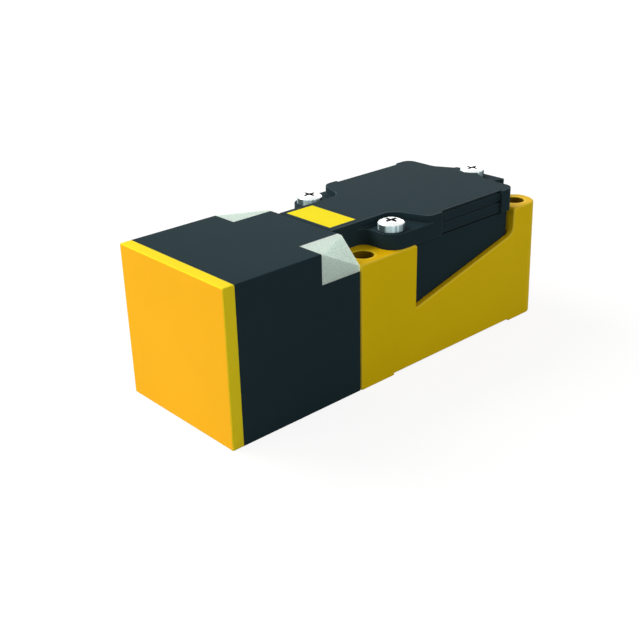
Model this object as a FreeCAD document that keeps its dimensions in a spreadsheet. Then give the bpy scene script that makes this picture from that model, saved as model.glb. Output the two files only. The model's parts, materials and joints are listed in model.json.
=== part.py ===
import FreeCAD, Part
import os
import re
import Sketcher

# Every driving size in millimetres; an inset or setback is counted from the edge that it names.
DIMENSIONS = {
    # overall block
    "total_length": 114.0,
    "section": 40.0,
    # sensing head
    "plate_thickness": 3.15,
    "plate_skirt_depth": 2.8,
    "plate_skirt_wall": 1.2,
    "plate_edge_radius": 0.35,
    "head_end": 40.5,
    "head_wall": 2.0,
    "head_rear_wall": 3.0,
    "head_fit_gap": 0.1,
    "head_edge_radius": 0.3,
    "head_base_gap": 0.5,
    # corner lenses
    "lens_length": 12.1,
    "lens_side": 7.6,
    "lens_bevel": 6.2,
    "lens_gap": 0.06,
    # spigot on which the head turns
    "spigot_radius": 6.8,
    "spigot_wall": 2.2,
    "spigot_tail": 1.45,
    "turn_clearance": 0.05,
    "seal_inset": 0.8,
    "seal_cord": 1.04,
    "seal_groove_width": 1.4,
    "lock_gap": 0.25,
    "lock_thickness": 0.9,
    "lock_rim": 1.3,
    "lock_groove_depth": 0.8,
    "lock_opening": 5.0,
    "groove_play": 0.1,
    # coil set
    "glue_gap": 0.05,
    "core_depth": 9.0,
    "core_gap": 2.5,
    "core_wall": 2.2,
    "core_back": 2.6,
    "core_post_radius": 5.6,
    "bobbin_wall": 0.7,
    "coil_gap": 0.3,
    # boards and electronics
    "board_thickness": 1.6,
    "chip_height": 1.8,
    "chip_length": 9.0,
    "chip_width": 5.0,
    "chip_offset": 9.5,
    "led_space": 3.0,
    "led_board_window": 20.0,
    "led_width": 2.0,
    "led_height": 1.2,
    "led_inset": 6.8,
    "led_pitch": 2.5,
    "led_drop": 5.4,
    "potting_length": 8.2,
    "potting_side_gap": 0.54,
    "potting_gap": 0.3,
    "lead_well_radius": 4.4,
    # mounting base
    "cover_height": 6.3,
    "base_floor": 3.0,
    "base_front_wall": 3.0,
    "base_side_wall": 1.7,
    "base_corner_radius": 5.0,
    "base_edge_radius": 0.5,
    "base_front_radius": 0.6,
    "foot_recess": 0.55,
    "front_foot_length": 11.8,
    "rear_foot_length": 13.4,
    "ear_length": 20.0,
    "rear_block_length": 13.7,
    "rear_wall_inset": 2.5,
    "lug_inset": 0.7,
    "lug_draft": 1.2,
    "lug_inner_half": 12.2,
    "lug_inner_radius": 3.0,
    "lug_root_half": 10.6,
    "lug_root_radius": 1.0,
    "notch_low": 16.4,
    "notch_rise": 10.1,
    "notch_corner_radius": 2.5,
    "notch_foot_radius": 0.5,
    "notch_rim_radius": 0.9,
    "channel_gap": 0.3,
    "channel_drop": 2.9,
    "hole_radius": 2.65,
    "hole_rim": 0.2,
    "hole_front_inset": 5.5,
    "hole_rear_inset": 7.5,
    "hole_side_inset": 5.0,
    "entry_radius": 10.0,
    "entry_height": 16.5,
    "collar_wall": 2.3,
    # terminal chamber
    "chamber_gap": 0.2,
    "chamber_rear_gap": 0.5,
    "chamber_wall": 1.8,
    "chamber_floor": 2.0,
    "chamber_drop": 0.7,
    "chamber_corner_radius": 1.0,
    "chamber_entry_gap": 0.8,
    # leads and grommet
    "grommet_waist_radius": 4.2,
    "grommet_lip": 1.2,
    "grommet_flange": 1.0,
    "grommet_wall": 0.9,
    "grommet_gap": 0.05,
    "lead_radius": 0.6,
    "lead_pitch": 1.5,
    "lead_play": 0.3,
    "lead_run": 0.5,
    "lead_straight": 1.0,
    "lead_grip": 3.0,
    # terminal block
    "block_setback": 12.0,
    "block_length": 12.0,
    "block_side_gap": 1.3,
    "block_drop": 3.5,
    "block_end_wall": 1.0,
    "pole_wall": 1.8,
    "cage_inset": 3.0,
    "cage_length": 7.0,
    "cage_height": 7.0,
    "cage_wall": 1.0,
    "cage_gap": 0.15,
    "clamp_radius": 1.25,
    "clamp_head_radius": 2.0,
    "clamp_head_height": 1.6,
    "clamp_length": 3.2,
    "clamp_slot": 0.6,
    "clamp_slot_depth": 0.8,
    "clamp_well_gap": 0.3,
    # cover
    "flange_height": 4.15,
    "neck_side_wall": 1.2,
    "ear_land": 4.1,
    "ear_hollow_radius": 2.5,
    "ear_round_radius": 4.6,
    "cover_side_inset": 0.4,
    "cover_rear_inset": 13.7,
    "cover_corner_radius": 2.8,
    "tab_root_half": 12.0,
    "tab_waist_inset": 9.0,
    "tab_waist_half": 6.2,
    "tab_waist_radius": 5.0,
    "tab_half": 9.5,
    "tab_rear_inset": 4.2,
    "tab_corner_radius": 0.6,
    "shoulder_setback": 1.2,
    "shoulder_run": 3.4,
    "shoulder_hollow_radius": 4.5,
    "shoulder_round_radius": 3.0,
    "horn_root_half": 9.7,
    "horn_rear_inset": 9.4,
    "horn_half": 1.6,
    "horn_hollow_radius": 3.0,
    "screw_recess_gap": 1.05,
    "cover_edge_radius": 0.25,
    "grip_front_land": 4.9,
    "grip_rear_land": 5.4,
    "grip_depth": 0.9,
    "grip_groove_depth": 0.6,
    "grip_groove_height": 0.7,
    "grip_low_rise": 2.6,
    "grip_high_rise": 1.15,
    "cover_roof": 2.0,
    "cavity_front_land": 4.0,
    "cavity_rear_land": 0.3,
    "cavity_side_land": 0.5,
    "neck_cavity_wall": 2.0,
    "neck_cavity_land": 1.0,
    # gasket
    "gasket_width": 1.2,
    "gasket_height": 1.3,
    "gasket_play": 0.1,
    # marker plate
    "marker_inset": 1.2,
    "marker_length": 8.7,
    "marker_side_land": 1.6,
    "marker_thickness": 0.5,
    "marker_gap": 0.1,
    # cover screws and inserts
    "screw_head_radius": 3.4,
    "screw_head_height": 2.8,
    "screw_dome_radius": 5.7,
    "screw_radius": 1.75,
    "screw_length": 9.6,
    "screw_hole_gap": 0.2,
    "screw_front_inset": 4.6,
    "screw_side_inset": 4.9,
    "screw_rear_inset": 8.0,
    "screw_cross_span": 3.6,
    "screw_cross_width": 0.7,
    "screw_cross_depth": 1.2,
    "insert_wall": 0.8,
    "insert_length": 5.2,
    "insert_gap": 0.02,
    "insert_clearance": 0.05,
    "insert_relief": 0.6,
}

# Places and sizes that follow from the driving ones; places along X are counted from the sensing face.
DERIVED = {
    "head_inside": "section - 2 * head_wall - 2 * head_fit_gap",
    "lens_front": "head_end - lens_length",
    "core_start": "plate_thickness + glue_gap",
    "core_radius": "section / 2 - head_wall - core_gap",
    "board_start": "core_start + core_depth + glue_gap",
    "board_back": "board_start + board_thickness",
    "led_board_start": "lens_front - led_space - board_thickness",
    "led_inner": "section / 2 - led_inset",
    "led_outer": "led_inner + led_pitch",
    "potting_start": "head_end - head_rear_wall - potting_gap - potting_length",
    "potting_size": "section - 2 * (lens_side + lens_gap + potting_side_gap)",
    "base_front": "head_end + head_base_gap",
    "base_top": "section - cover_height",
    "ear_end": "base_front + ear_length",
    "notch_rear": "total_length - rear_block_length",
    "notch_high": "notch_low + notch_rise",
    "rear_wall": "total_length - rear_wall_inset",
    "lug_rear": "total_length - lug_inset",
    "collar_radius": "entry_radius + collar_wall",
    "collar_root": "rear_wall - lug_draft - collar_wall / 2",
    "front_foot_end": "base_front + front_foot_length",
    "rear_foot_start": "total_length - rear_foot_length",
    "hole_front": "base_front + hole_front_inset",
    "hole_rear": "total_length - hole_rear_inset",
    "hole_side": "section / 2 - hole_side_inset",
    "spigot_bore": "spigot_radius - spigot_wall",
    "seal_start": "base_front + seal_inset",
    "lock_start": "base_front + base_front_wall + lock_gap",
    "lock_outer_radius": "spigot_radius + lock_rim",
    "lock_groove_radius": "spigot_radius - lock_groove_depth",
    "spigot_end": "lock_start + lock_thickness + spigot_tail",
    "channel_half": "lock_outer_radius + channel_gap",
    "channel_floor": "section / 2 - lock_outer_radius - channel_drop",
    "chamber_front": "ear_end + chamber_gap",
    "chamber_rear": "notch_rear - chamber_rear_gap",
    "chamber_half": "section / 2 - base_side_wall - chamber_gap",
    "chamber_top": "base_top - chamber_drop",
    "grommet_front": "chamber_front - grommet_gap",
    "grommet_rear": "chamber_front + chamber_wall + grommet_gap",
    "grommet_flange_radius": "grommet_waist_radius + grommet_lip",
    "grommet_bore": "grommet_waist_radius - grommet_wall",
    "lead_start": "board_back + lead_play",
    "lead_spread_start": "grommet_rear + grommet_flange + lead_run",
    "lead_spread_end": "block_start - lead_straight",
    "lead_end": "cage_start + lead_grip",
    "block_start": "ear_end + block_setback",
    "block_half": "chamber_half - chamber_wall - block_side_gap",
    "block_top": "chamber_top - block_drop",
    "pole_pitch": "(block_half - block_end_wall) / 2",
    "cage_start": "block_start + cage_inset",
    "cage_width": "pole_pitch - pole_wall",
    "flange_top": "base_top + flange_height",
    "neck_half": "channel_half + neck_side_wall",
    "cover_half": "section / 2 - cover_side_inset",
    "cover_rear": "total_length - cover_rear_inset",
    "ear_front": "screw_front - ear_land",
    "tab_waist": "total_length - tab_waist_inset",
    "tab_rear": "total_length - tab_rear_inset",
    "shoulder_start": "ear_end + shoulder_setback",
    "shoulder_end": "shoulder_start + shoulder_run",
    "horn_rear": "total_length - horn_rear_inset",
    "screw_recess_radius": "screw_head_radius + screw_recess_gap",
    "grip_start": "shoulder_end + grip_front_land",
    "grip_end": "cover_rear - grip_rear_land",
    "grip_groove_low": "base_top + grip_low_rise",
    "grip_groove_high": "flange_top + grip_high_rise",
    "cavity_front": "chamber_front + chamber_wall + cavity_front_land",
    "cavity_rear": "chamber_rear - chamber_wall - cavity_rear_land",
    "cavity_half": "chamber_half - chamber_wall - cavity_side_land",
    "neck_cavity_end": "ear_end - neck_cavity_land",
    "marker_start": "base_front + marker_inset",
    "marker_half": "neck_half - marker_side_land",
    "screw_front": "ear_end - screw_front_inset",
    "screw_side": "section / 2 - screw_side_inset",
    "screw_rear": "total_length - screw_rear_inset",
    "screw_hole_radius": "screw_radius + screw_hole_gap",
    "thread_radius": "screw_radius + insert_clearance",
    "insert_radius": "thread_radius + insert_wall",
}

POLES = (-1.5, -0.5, 0.5, 1.5)
CORNERS = (("+", "+"), ("-", "+"), ("-", "-"), ("+", "-"))
SCREWS = {
    "cover_screw_front_left": ("screw_front", "screw_side"),
    "cover_screw_front_right": ("screw_front", "-screw_side"),
    "cover_screw_rear": ("screw_rear", "0"),
}
CLOSE = 1e-4

doc = FreeCAD.newDocument("proximity_sensor")
sheet = doc.addObject("Spreadsheet::Sheet", "dims")
for row, (alias, size) in enumerate(DIMENSIONS.items(), start=1):
    sheet.set(f"A{row}", alias)
    sheet.set(f"B{row}", str(size))
    sheet.setAlias(f"B{row}", alias)
doc.recompute()


def bound(text):
    """Return an expression with derived names written out and each size name pointed at its cell."""
    def cell(word):
        name = word.group()
        if name in DERIVED:
            return f"({bound(DERIVED[name])})"
        return f"dims.{name}" if name in DIMENSIONS else name

    return re.sub(r"[a-z_]+", cell, text)


def value(text):
    """Return the number that an expression of size names has now."""
    return float(sheet.evalExpression(bound(text)))


def bind(thing, **properties):
    """Tie properties of an object to expressions; a double underscore in a name stands for a dot."""
    for name, text in properties.items():
        thing.setExpression(name.replace("__", "."), bound(text))


def place(thing, x="0", y="0", z="0"):
    """Tie an object's place to expressions, with X counted from the sensing face."""
    bind(thing, Placement__Base__x=f"({x}) - total_length / 2", Placement__Base__y=y, Placement__Base__z=z)


def new_body(label, **where):
    """Start a part design body that has its own label and place."""
    body = doc.addObject("PartDesign::Body", label)
    body.Label = label
    place(body, **where)
    return body


def head_body(label):
    """Start a body whose local X axis is the long axis of the sensing head."""
    return new_body(label, z="section / 2")


def origin_plane(body, role):
    """Return one of the body's own origin planes."""
    return next(feature for feature in body.Origin.OriginFeatures if feature.Role == role)


def new_sketch(body, role, offset="0"):
    """Open a sketch on one of the body's own origin planes, moved along the plane's normal."""
    sketch = body.newObject("Sketcher::SketchObject", f"{body.Name}_sketch")
    sketch.AttachmentSupport = [(origin_plane(body, role), "")]
    sketch.MapMode = "FlatFace"
    bind(sketch, AttachmentOffset__Base__z=offset)
    doc.recompute()
    return sketch


def fix_point(sketch, geometry, point, x, y):
    """Hold one sketch point at a pair of expressions measured from the sketch origin."""
    for kind, text, axis in (("DistanceX", x, -2), ("DistanceY", y, -1)):
        if text == "0":
            sketch.addConstraint(Sketcher.Constraint("PointOnObject", geometry, point, axis))
            continue
        index = sketch.addConstraint(Sketcher.Constraint(kind, -1, 1, geometry, point, value(text)))
        sketch.setExpression(f"Constraints[{index}]", bound(text))


def draw_polygon(sketch, points, closed=True):
    """Draw straight edges through points that are pairs of expressions."""
    spots = [FreeCAD.Vector(value(x), value(y), 0) for x, y in points]
    first = sketch.GeometryCount
    count = len(points) if closed else len(points) - 1
    for index in range(count):
        sketch.addGeometry(Part.LineSegment(spots[index], spots[(index + 1) % len(points)]))
    for index in range(count if closed else count - 1):
        following = first + (index + 1) % count
        sketch.addConstraint(Sketcher.Constraint("Coincident", first + index, 2, following, 1))
    for index in range(count):
        fix_point(sketch, first + index, 1, *points[index])
    if not closed:
        fix_point(sketch, first + count - 1, 2, *points[-1])


def draw_box(sketch, low_x, low_y, high_x, high_y):
    """Draw a rectangle between two corners."""
    draw_polygon(sketch, [(low_x, low_y), (high_x, low_y), (high_x, high_y), (low_x, high_y)])


def draw_square(sketch, side):
    """Draw a square of a given side about the sketch origin."""
    draw_box(sketch, f"-({side}) / 2", f"-({side}) / 2", f"({side}) / 2", f"({side}) / 2")


def draw_circle(sketch, x, y, radius):
    """Draw a circle about a point."""
    centre = FreeCAD.Vector(value(x), value(y), 0)
    index = sketch.addGeometry(Part.Circle(centre, FreeCAD.Vector(0, 0, 1), value(radius)))
    fix_point(sketch, index, 3, x, y)
    ring = sketch.addConstraint(Sketcher.Constraint("Radius", index, value(radius)))
    sketch.setExpression(f"Constraints[{ring}]", bound(radius))


def mirrored(half):
    """Close an outline by repeating its upper half below the sketch's X axis."""
    return half + [(x, f"-({y})") for x, y in reversed(half)]


def finish(body, feature, grows):
    """Recompute, then refuse a feature that is broken or works the wrong way."""
    tip = body.Tip
    before = tip.Shape.Volume if tip is not feature and tip.Shape.Solids else 0.0
    body.Tip = feature
    doc.recompute()
    change = feature.Shape.Volume - before
    if feature.State and {"Invalid", "Error"} & set(feature.State):
        raise RuntimeError(f"{body.Label}: {feature.Name} is {feature.State}")
    if grows and change <= CLOSE or not grows and change >= -CLOSE:
        raise RuntimeError(f"{body.Label}: {feature.Name} changes the volume by {change}")
    return feature


def add_feature(body, kind, sketch):
    """Put a sketch based feature in a body without moving the body's tip yet."""
    tip = body.Tip
    feature = body.newObject(f"PartDesign::{kind}", f"{body.Name}_{kind}")
    body.Tip = tip if tip else feature
    feature.Profile = sketch
    return feature


def pad(body, sketch, length):
    """Grow a sketch along its normal."""
    feature = add_feature(body, "Pad", sketch)
    bind(feature, Length=length)
    return finish(body, feature, True)


def pocket(body, sketch, depth, along_normal=True):
    """Cut a sketch's outline to a depth, along its normal or against it."""
    feature = add_feature(body, "Pocket", sketch)
    feature.Reversed = along_normal
    bind(feature, Length=depth)
    return finish(body, feature, False)


def revolve(body, points):
    """Turn a profile of (x, radius) points a full turn about the body's X axis."""
    sketch = new_sketch(body, "XY_Plane")
    draw_polygon(sketch, points)
    feature = add_feature(body, "Revolution", sketch)
    feature.ReferenceAxis = (sketch, ["H_Axis"])
    feature.Angle = 360
    return finish(body, feature, True)


def lean_faces(body, angle, accept):
    """Tilt upright faces of the last feature that a test accepts inwards about their lower edges."""
    tip = body.Tip
    names = [f"Face{index}" for index, face in enumerate(tip.Shape.Faces, start=1) if accept(face)]
    feature = body.newObject("PartDesign::Draft", f"{body.Name}_Draft")
    body.Tip = tip
    feature.Base = (tip, names)
    feature.NeutralPlane = (origin_plane(body, "XY_Plane"), [""])
    bind(feature, Angle=angle)
    return finish(body, feature, False)


def round_edges(body, radius, accept, kind="Fillet"):
    """Round or bevel every edge of the body's last feature that a test accepts."""
    tip = body.Tip
    names = [f"Edge{index}" for index, edge in enumerate(tip.Shape.Edges, start=1) if accept(edge)]
    if not names:
        raise RuntimeError(f"{body.Label}: no edge to round")
    feature = body.newObject(f"PartDesign::{kind}", f"{body.Name}_{kind}")
    feature.Base = (tip, names)
    bind(feature, **{"Radius" if kind == "Fillet" else "Size": radius})
    body.Tip = feature
    doc.recompute()
    if {"Invalid", "Error"} & set(feature.State) or not feature.Shape.isValid():
        raise RuntimeError(f"{body.Label}: {feature.Name} is {feature.State}")
    return feature


def middle(edge):
    """Return the middle point of an edge."""
    return edge.valueAt((edge.FirstParameter + edge.LastParameter) / 2)


def upright_at(*spots):
    """Accept straight edges along Z that stand at one of the (x, y) expressions, on either side of Y."""
    wanted = [(value(x), value(y)) for x, y in spots]

    def accept(edge):
        low, high = edge.BoundBox.ZMin, edge.BoundBox.ZMax
        spot = middle(edge)
        straight = edge.BoundBox.XLength + edge.BoundBox.YLength < CLOSE and high - low > CLOSE
        return straight and any(abs(spot.x - x) + abs(abs(spot.y) - y) < CLOSE for x, y in wanted)

    return accept


def foot_at(x, y):
    """Accept edges that rise from the ground at a pair of expressions, on either side of Y."""
    wanted_x, wanted_y = value(x), value(y)

    def accept(edge):
        low, high = sorted((vertex.Point for vertex in edge.Vertexes), key=lambda point: point.z)
        off = abs(low.x - wanted_x) + abs(abs(low.y) - wanted_y) + abs(low.z)
        return off < CLOSE and high.z > CLOSE

    return accept


def across_at(*spots):
    """Accept straight edges along Y that lie at one of the (x, z) expressions."""
    wanted = [(value(x), value(z)) for x, z in spots]

    def accept(edge):
        spot = middle(edge)
        straight = edge.BoundBox.XLength + edge.BoundBox.ZLength < CLOSE and edge.BoundBox.YLength > CLOSE
        return straight and any(abs(spot.x - x) + abs(spot.z - z) < CLOSE for x, z in wanted)

    return accept


def level_at(height):
    """Accept edges that lie wholly in one horizontal plane."""
    level = value(height)
    return lambda edge: abs(edge.BoundBox.ZMin - level) < CLOSE and abs(edge.BoundBox.ZMax - level) < CLOSE


def primitive(kind, name, **sizes):
    """Add a Part primitive and tie its sizes to expressions."""
    thing = doc.addObject(f"Part::{kind}", name)
    bind(thing, **sizes)
    return thing


def boolean(kind, name, base, tool):
    """Join, cut or intersect two objects."""
    thing = doc.addObject(f"Part::{kind}", name)
    thing.Base = base
    thing.Tool = tool
    return thing


def group(label, members):
    """Gather equal pieces as separate solids of one node."""
    thing = doc.addObject("Part::Compound", label)
    thing.Label = label
    thing.Links = members
    return thing


def make_sensing_face():
    """Front plate with a square skirt that plugs into the head housing."""
    body = head_body("sensing_face")
    plate = new_sketch(body, "YZ_Plane")
    draw_square(plate, "section")
    pad(body, plate, "plate_thickness")
    skirt = new_sketch(body, "YZ_Plane", "plate_thickness")
    draw_square(skirt, "head_inside")
    draw_square(skirt, "head_inside - 2 * plate_skirt_wall")
    pad(body, skirt, "plate_skirt_depth")
    half = value("section / 2")
    back = value("plate_thickness")

    def outer_edge(edge):
        spot = middle(edge)
        return max(abs(spot.y), abs(spot.z)) > half - CLOSE and edge.BoundBox.XMin < back - CLOSE

    round_edges(body, "plate_edge_radius", outer_edge)
    return body


def make_head_housing():
    """Square cup with two cut-out corners for the lenses and a hollow spigot on which it turns."""
    body = head_body("head_housing")
    block = new_sketch(body, "YZ_Plane", "plate_thickness")
    draw_square(block, "section")
    pad(body, block, "head_end - plate_thickness")
    half = value("section / 2")

    def long_corner(edge):
        spot = middle(edge)
        return abs(abs(spot.y) - half) + abs(abs(spot.z) - half) < CLOSE

    round_edges(body, "head_edge_radius", long_corner)
    hollow = new_sketch(body, "YZ_Plane", "plate_thickness")
    draw_square(hollow, "section - 2 * head_wall")
    pocket(body, hollow, "head_end - plate_thickness - head_rear_wall")
    corners = new_sketch(body, "YZ_Plane", "lens_front - lens_gap")
    inner = "section / 2 - lens_side - lens_gap"
    outer = "section / 2 + head_wall"
    for side in "+-":
        draw_box(corners, f"{side}({inner})", inner, f"{side}({outer})", outer)
    pocket(body, corners, "lens_length + 2 * head_wall")
    seal_floor = "spigot_radius - seal_cord - groove_play"
    lock_end = "lock_start + lock_thickness + groove_play"
    lock_front = "lock_start - groove_play"
    seal_end = "seal_start + seal_groove_width"
    revolve(body, [
        ("head_end - head_rear_wall", "spigot_bore"),
        ("head_end - head_rear_wall", "spigot_radius"),
        ("seal_start", "spigot_radius"),
        ("seal_start", seal_floor),
        (seal_end, seal_floor),
        (seal_end, "spigot_radius"),
        (lock_front, "spigot_radius"),
        (lock_front, "lock_groove_radius"),
        (lock_end, "lock_groove_radius"),
        (lock_end, "spigot_radius"),
        ("spigot_end", "spigot_radius"),
        ("spigot_end", "spigot_bore"),
    ])
    bore = new_sketch(body, "YZ_Plane", "head_end - 2 * head_rear_wall")
    draw_circle(bore, "0", "0", "spigot_bore")
    pocket(body, bore, "3 * head_rear_wall")
    return body


def make_lens(label, side):
    """Clear corner block whose outer rear corner is cut away to a point at its front edge."""
    body = head_body(label)
    outer = "section / 2"
    inner = "section / 2 - lens_side"
    cut = "section / 2 - lens_bevel"
    block = new_sketch(body, "YZ_Plane", "lens_front")
    draw_box(block, f"{side}({inner})", inner, f"{side}({outer})", outer)
    pad(body, block, "lens_length")
    corner = new_sketch(body, "YZ_Plane", "head_end")
    draw_polygon(corner, [(f"{side}({cut})", outer), (f"{side}({outer})", cut), (f"{side}({outer})", outer)])
    point = new_sketch(body, "YZ_Plane", "lens_front")
    fix_point(point, point.addGeometry(Part.Point()), 1, f"{side}({outer})", outer)
    doc.recompute()
    bevel = add_feature(body, "SubtractiveLoft", corner)
    bevel.Sections = [(point, ["Vertex1"])]
    bevel.Ruled = True
    finish(body, bevel, False)
    return body


def make_ferrite_core():
    """Pot core, open towards the sensing face, with a centre post."""
    body = head_body("ferrite_core")
    floor = "core_start + core_depth - core_back"
    revolve(body, [
        ("core_start", "0"),
        ("core_start", "core_post_radius"),
        (floor, "core_post_radius"),
        (floor, "core_radius - core_wall"),
        ("core_start", "core_radius - core_wall"),
        ("core_start", "core_radius"),
        ("core_start + core_depth", "core_radius"),
        ("core_start + core_depth", "0"),
    ])
    return body


def make_coil_bobbin():
    """Spool that carries the winding inside the pot core."""
    body = head_body("coil_bobbin")
    front = "core_start + coil_gap"
    rear = "core_start + core_depth - core_back - coil_gap"
    bore = "core_post_radius + coil_gap"
    rim = "core_radius - core_wall - coil_gap"
    drum = f"{bore} + bobbin_wall"
    revolve(body, [
        (front, bore),
        (front, rim),
        (f"{front} + bobbin_wall", rim),
        (f"{front} + bobbin_wall", drum),
        (f"{rear} - bobbin_wall", drum),
        (f"{rear} - bobbin_wall", rim),
        (rear, rim),
        (rear, bore),
    ])
    return body


def make_coil_winding():
    """Copper winding between the bobbin's flanges."""
    body = head_body("coil_winding")
    front = "core_start + 2 * coil_gap + bobbin_wall"
    rear = "core_start + core_depth - core_back - 2 * coil_gap - bobbin_wall"
    inner = "core_post_radius + 2 * coil_gap + bobbin_wall"
    outer = "core_radius - core_wall - 3 * coil_gap"
    revolve(body, [(front, inner), (front, outer), (rear, outer), (rear, inner)])
    return body


def make_oscillator_board():
    """Board behind the coil, which the leads are soldered to."""
    body = head_body("oscillator_board")
    board = new_sketch(body, "YZ_Plane", "board_start")
    draw_square(board, "head_inside")
    pad(body, board, "board_thickness")
    return body


def make_board_chips():
    """Packaged parts on the rear of the oscillator board, one towards each corner."""
    chips = []
    for index, (across, rise) in enumerate(CORNERS):
        chip = primitive("Box", f"chip_{index}", Length="chip_height", Width="chip_length")
        bind(chip, Height="chip_width")
        place(
            chip,
            x="board_back",
            y=f"{across}chip_offset - chip_length / 2",
            z=f"section / 2 {rise} chip_offset - chip_width / 2",
        )
        chips.append(chip)
    return group("board_chips", chips)


def make_led_board():
    """Square ring board that holds the lights for the corner lenses."""
    body = head_body("led_board")
    board = new_sketch(body, "YZ_Plane", "led_board_start")
    draw_square(board, "head_inside")
    draw_square(board, "led_board_window")
    pad(body, board, "board_thickness")
    return body


def make_status_leds():
    """Flat lights on the rear of the ring board, two facing each corner lens."""
    lights = []
    for index, across in enumerate(("led_inner", "led_outer", "-led_inner", "-led_outer")):
        light = primitive("Box", f"led_{index}", Length="led_height", Width="led_width", Height="led_width")
        place(
            light,
            x="led_board_start + board_thickness",
            y=f"{across} - led_width / 2",
            z="section - led_drop - led_width / 2",
        )
        lights.append(light)
    return group("status_leds", lights)


def make_potting_block():
    """Cast resin behind the boards, with a well for the leads."""
    body = head_body("potting_block")
    block = new_sketch(body, "YZ_Plane", "potting_start")
    draw_square(block, "potting_size")
    draw_circle(block, "0", "0", "lead_well_radius")
    pad(body, block, "head_end - head_rear_wall - potting_gap - potting_start")
    return body


def make_head_seal():
    """Square-section ring seal in the spigot's front groove."""
    body = head_body("head_seal")
    front = "seal_start + (seal_groove_width - seal_cord) / 2"
    outer = "spigot_radius - groove_play / 2"
    revolve(body, [
        (front, f"{outer} - seal_cord"),
        (front, outer),
        (f"{front} + seal_cord", outer),
        (f"{front} + seal_cord", f"{outer} - seal_cord"),
    ])
    return body


def make_lock_ring():
    """Open spring ring that keeps the head on the base."""
    body = head_body("lock_ring")
    ring = new_sketch(body, "YZ_Plane", "lock_start")
    draw_circle(ring, "0", "0", "lock_outer_radius")
    draw_circle(ring, "0", "0", "lock_groove_radius + groove_play")
    pad(body, ring, "lock_thickness")
    opening = new_sketch(body, "YZ_Plane", "lock_start - lock_thickness")
    draw_box(opening, "-lock_opening / 2", "0", "lock_opening / 2", "2 * lock_outer_radius")
    pocket(body, opening, "3 * lock_thickness")
    return body


def make_mounting_base():
    """Tray with slanting open sides, screw holes, round rear lugs and a collar on the cable entry."""
    body = new_body("mounting_base")
    half = "section / 2"
    outline = new_sketch(body, "XY_Plane")
    draw_polygon(outline, mirrored([
        ("base_front", half),
        ("lug_rear", half),
        ("lug_rear", "lug_inner_half"),
        ("rear_wall", "lug_root_half"),
    ]))
    pad(body, outline, "base_top")
    lean_faces(body, "atan(lug_draft / base_top)", lambda face: face.normalAt(0, 0).x > CLOSE)
    round_edges(body, "base_corner_radius", foot_at("lug_rear", half))
    round_edges(body, "lug_inner_radius", foot_at("lug_rear", "lug_inner_half"))
    round_edges(body, "lug_root_radius", foot_at("rear_wall", "lug_root_half"))
    collar = new_sketch(body, "YZ_Plane", "collar_root")
    draw_circle(collar, "0", "entry_height", "collar_radius")
    pad(body, collar, "total_length - collar_root")
    tray = new_sketch(body, "XY_Plane", "base_floor")
    inner = f"{half} - base_side_wall"
    draw_polygon(tray, mirrored([("ear_end", inner), ("notch_rear", inner)]))
    pocket(body, tray, "base_top")
    channel = new_sketch(body, "XY_Plane", "channel_floor")
    lock_wall = "base_front + base_front_wall"
    channel_end = "ear_end + base_side_wall"
    draw_polygon(channel, mirrored([(lock_wall, "channel_half"), (channel_end, "channel_half")]))
    pocket(body, channel, "base_top")
    notch = new_sketch(body, "XZ_Plane", "section")
    draw_polygon(notch, [
        ("ear_end", "2 * base_top"),
        ("ear_end", "notch_low"),
        ("notch_rear", "notch_high"),
        ("notch_rear", "2 * base_top"),
    ])
    pocket(body, notch, "2 * section", along_normal=False)
    round_edges(body, "notch_corner_radius", across_at(("notch_rear", "notch_high")))
    round_edges(body, "notch_foot_radius", across_at(("ear_end", "notch_low")))
    round_edges(body, "notch_rim_radius", across_at(("ear_end", "base_top"), ("notch_rear", "base_top")))
    round_edges(body, "base_front_radius", upright_at(("base_front", half)))
    spigot = new_sketch(body, "YZ_Plane", "base_front - base_front_wall")
    draw_circle(spigot, "0", half, "spigot_radius + turn_clearance")
    pocket(body, spigot, "3 * base_front_wall")
    entry = new_sketch(body, "YZ_Plane", "notch_rear - base_front_wall")
    draw_circle(entry, "0", "entry_height", "entry_radius")
    pocket(body, entry, "total_length")
    holes = new_sketch(body, "XY_Plane", "-base_top")
    for reach in ("hole_front", "hole_rear"):
        for side in "+-":
            draw_circle(holes, reach, f"{side}hole_side", "hole_radius")
    pocket(body, holes, "3 * base_top")
    seats = new_sketch(body, "XY_Plane", "base_top - insert_length")
    reliefs = new_sketch(body, "XY_Plane", "flange_top - screw_length - insert_relief")
    for reach, side in SCREWS.values():
        draw_circle(seats, reach, side, "insert_radius + insert_gap")
        draw_circle(reliefs, reach, side, "thread_radius")
    pocket(body, seats, "base_top")
    pocket(body, reliefs, "base_top")
    recess = new_sketch(body, "XY_Plane", "-foot_recess")
    draw_polygon(recess, mirrored([("front_foot_end", "section"), ("rear_foot_start", "section")]))
    pocket(body, recess, "2 * foot_recess")
    side_face = value(half)
    front_face = value("base_front")
    hole_line = value("hole_rear")
    wall_line = value("rear_wall")
    low = value("foot_recess + base_floor")
    on_top = level_at("base_top")

    def on_ring(edge, *sizes):
        if not isinstance(edge.Curve, Part.Circle):
            return False
        return any(abs(edge.Curve.Radius - value(size)) < CLOSE for size in sizes)

    def outer_edge(edge):
        spot = middle(edge)
        on_side = abs(abs(spot.y) - side_face) < CLOSE and edge.BoundBox.YLength < CLOSE
        on_hole = on_ring(edge, "hole_radius", "insert_radius + insert_gap")
        on_end = abs(spot.x - front_face) < CLOSE or spot.x > hole_line and not on_hole
        on_corner = on_ring(edge, "base_front_radius")
        on_collar = on_ring(edge, "collar_radius") and spot.x > wall_line
        return on_side and edge.BoundBox.ZMin > low or on_top(edge) and (on_end or on_corner) or on_collar

    round_edges(body, "base_edge_radius", outer_edge)
    round_edges(body, "hole_rim", lambda edge: on_top(edge) and on_ring(edge, "hole_radius"), "Chamfer")
    return body


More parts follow.
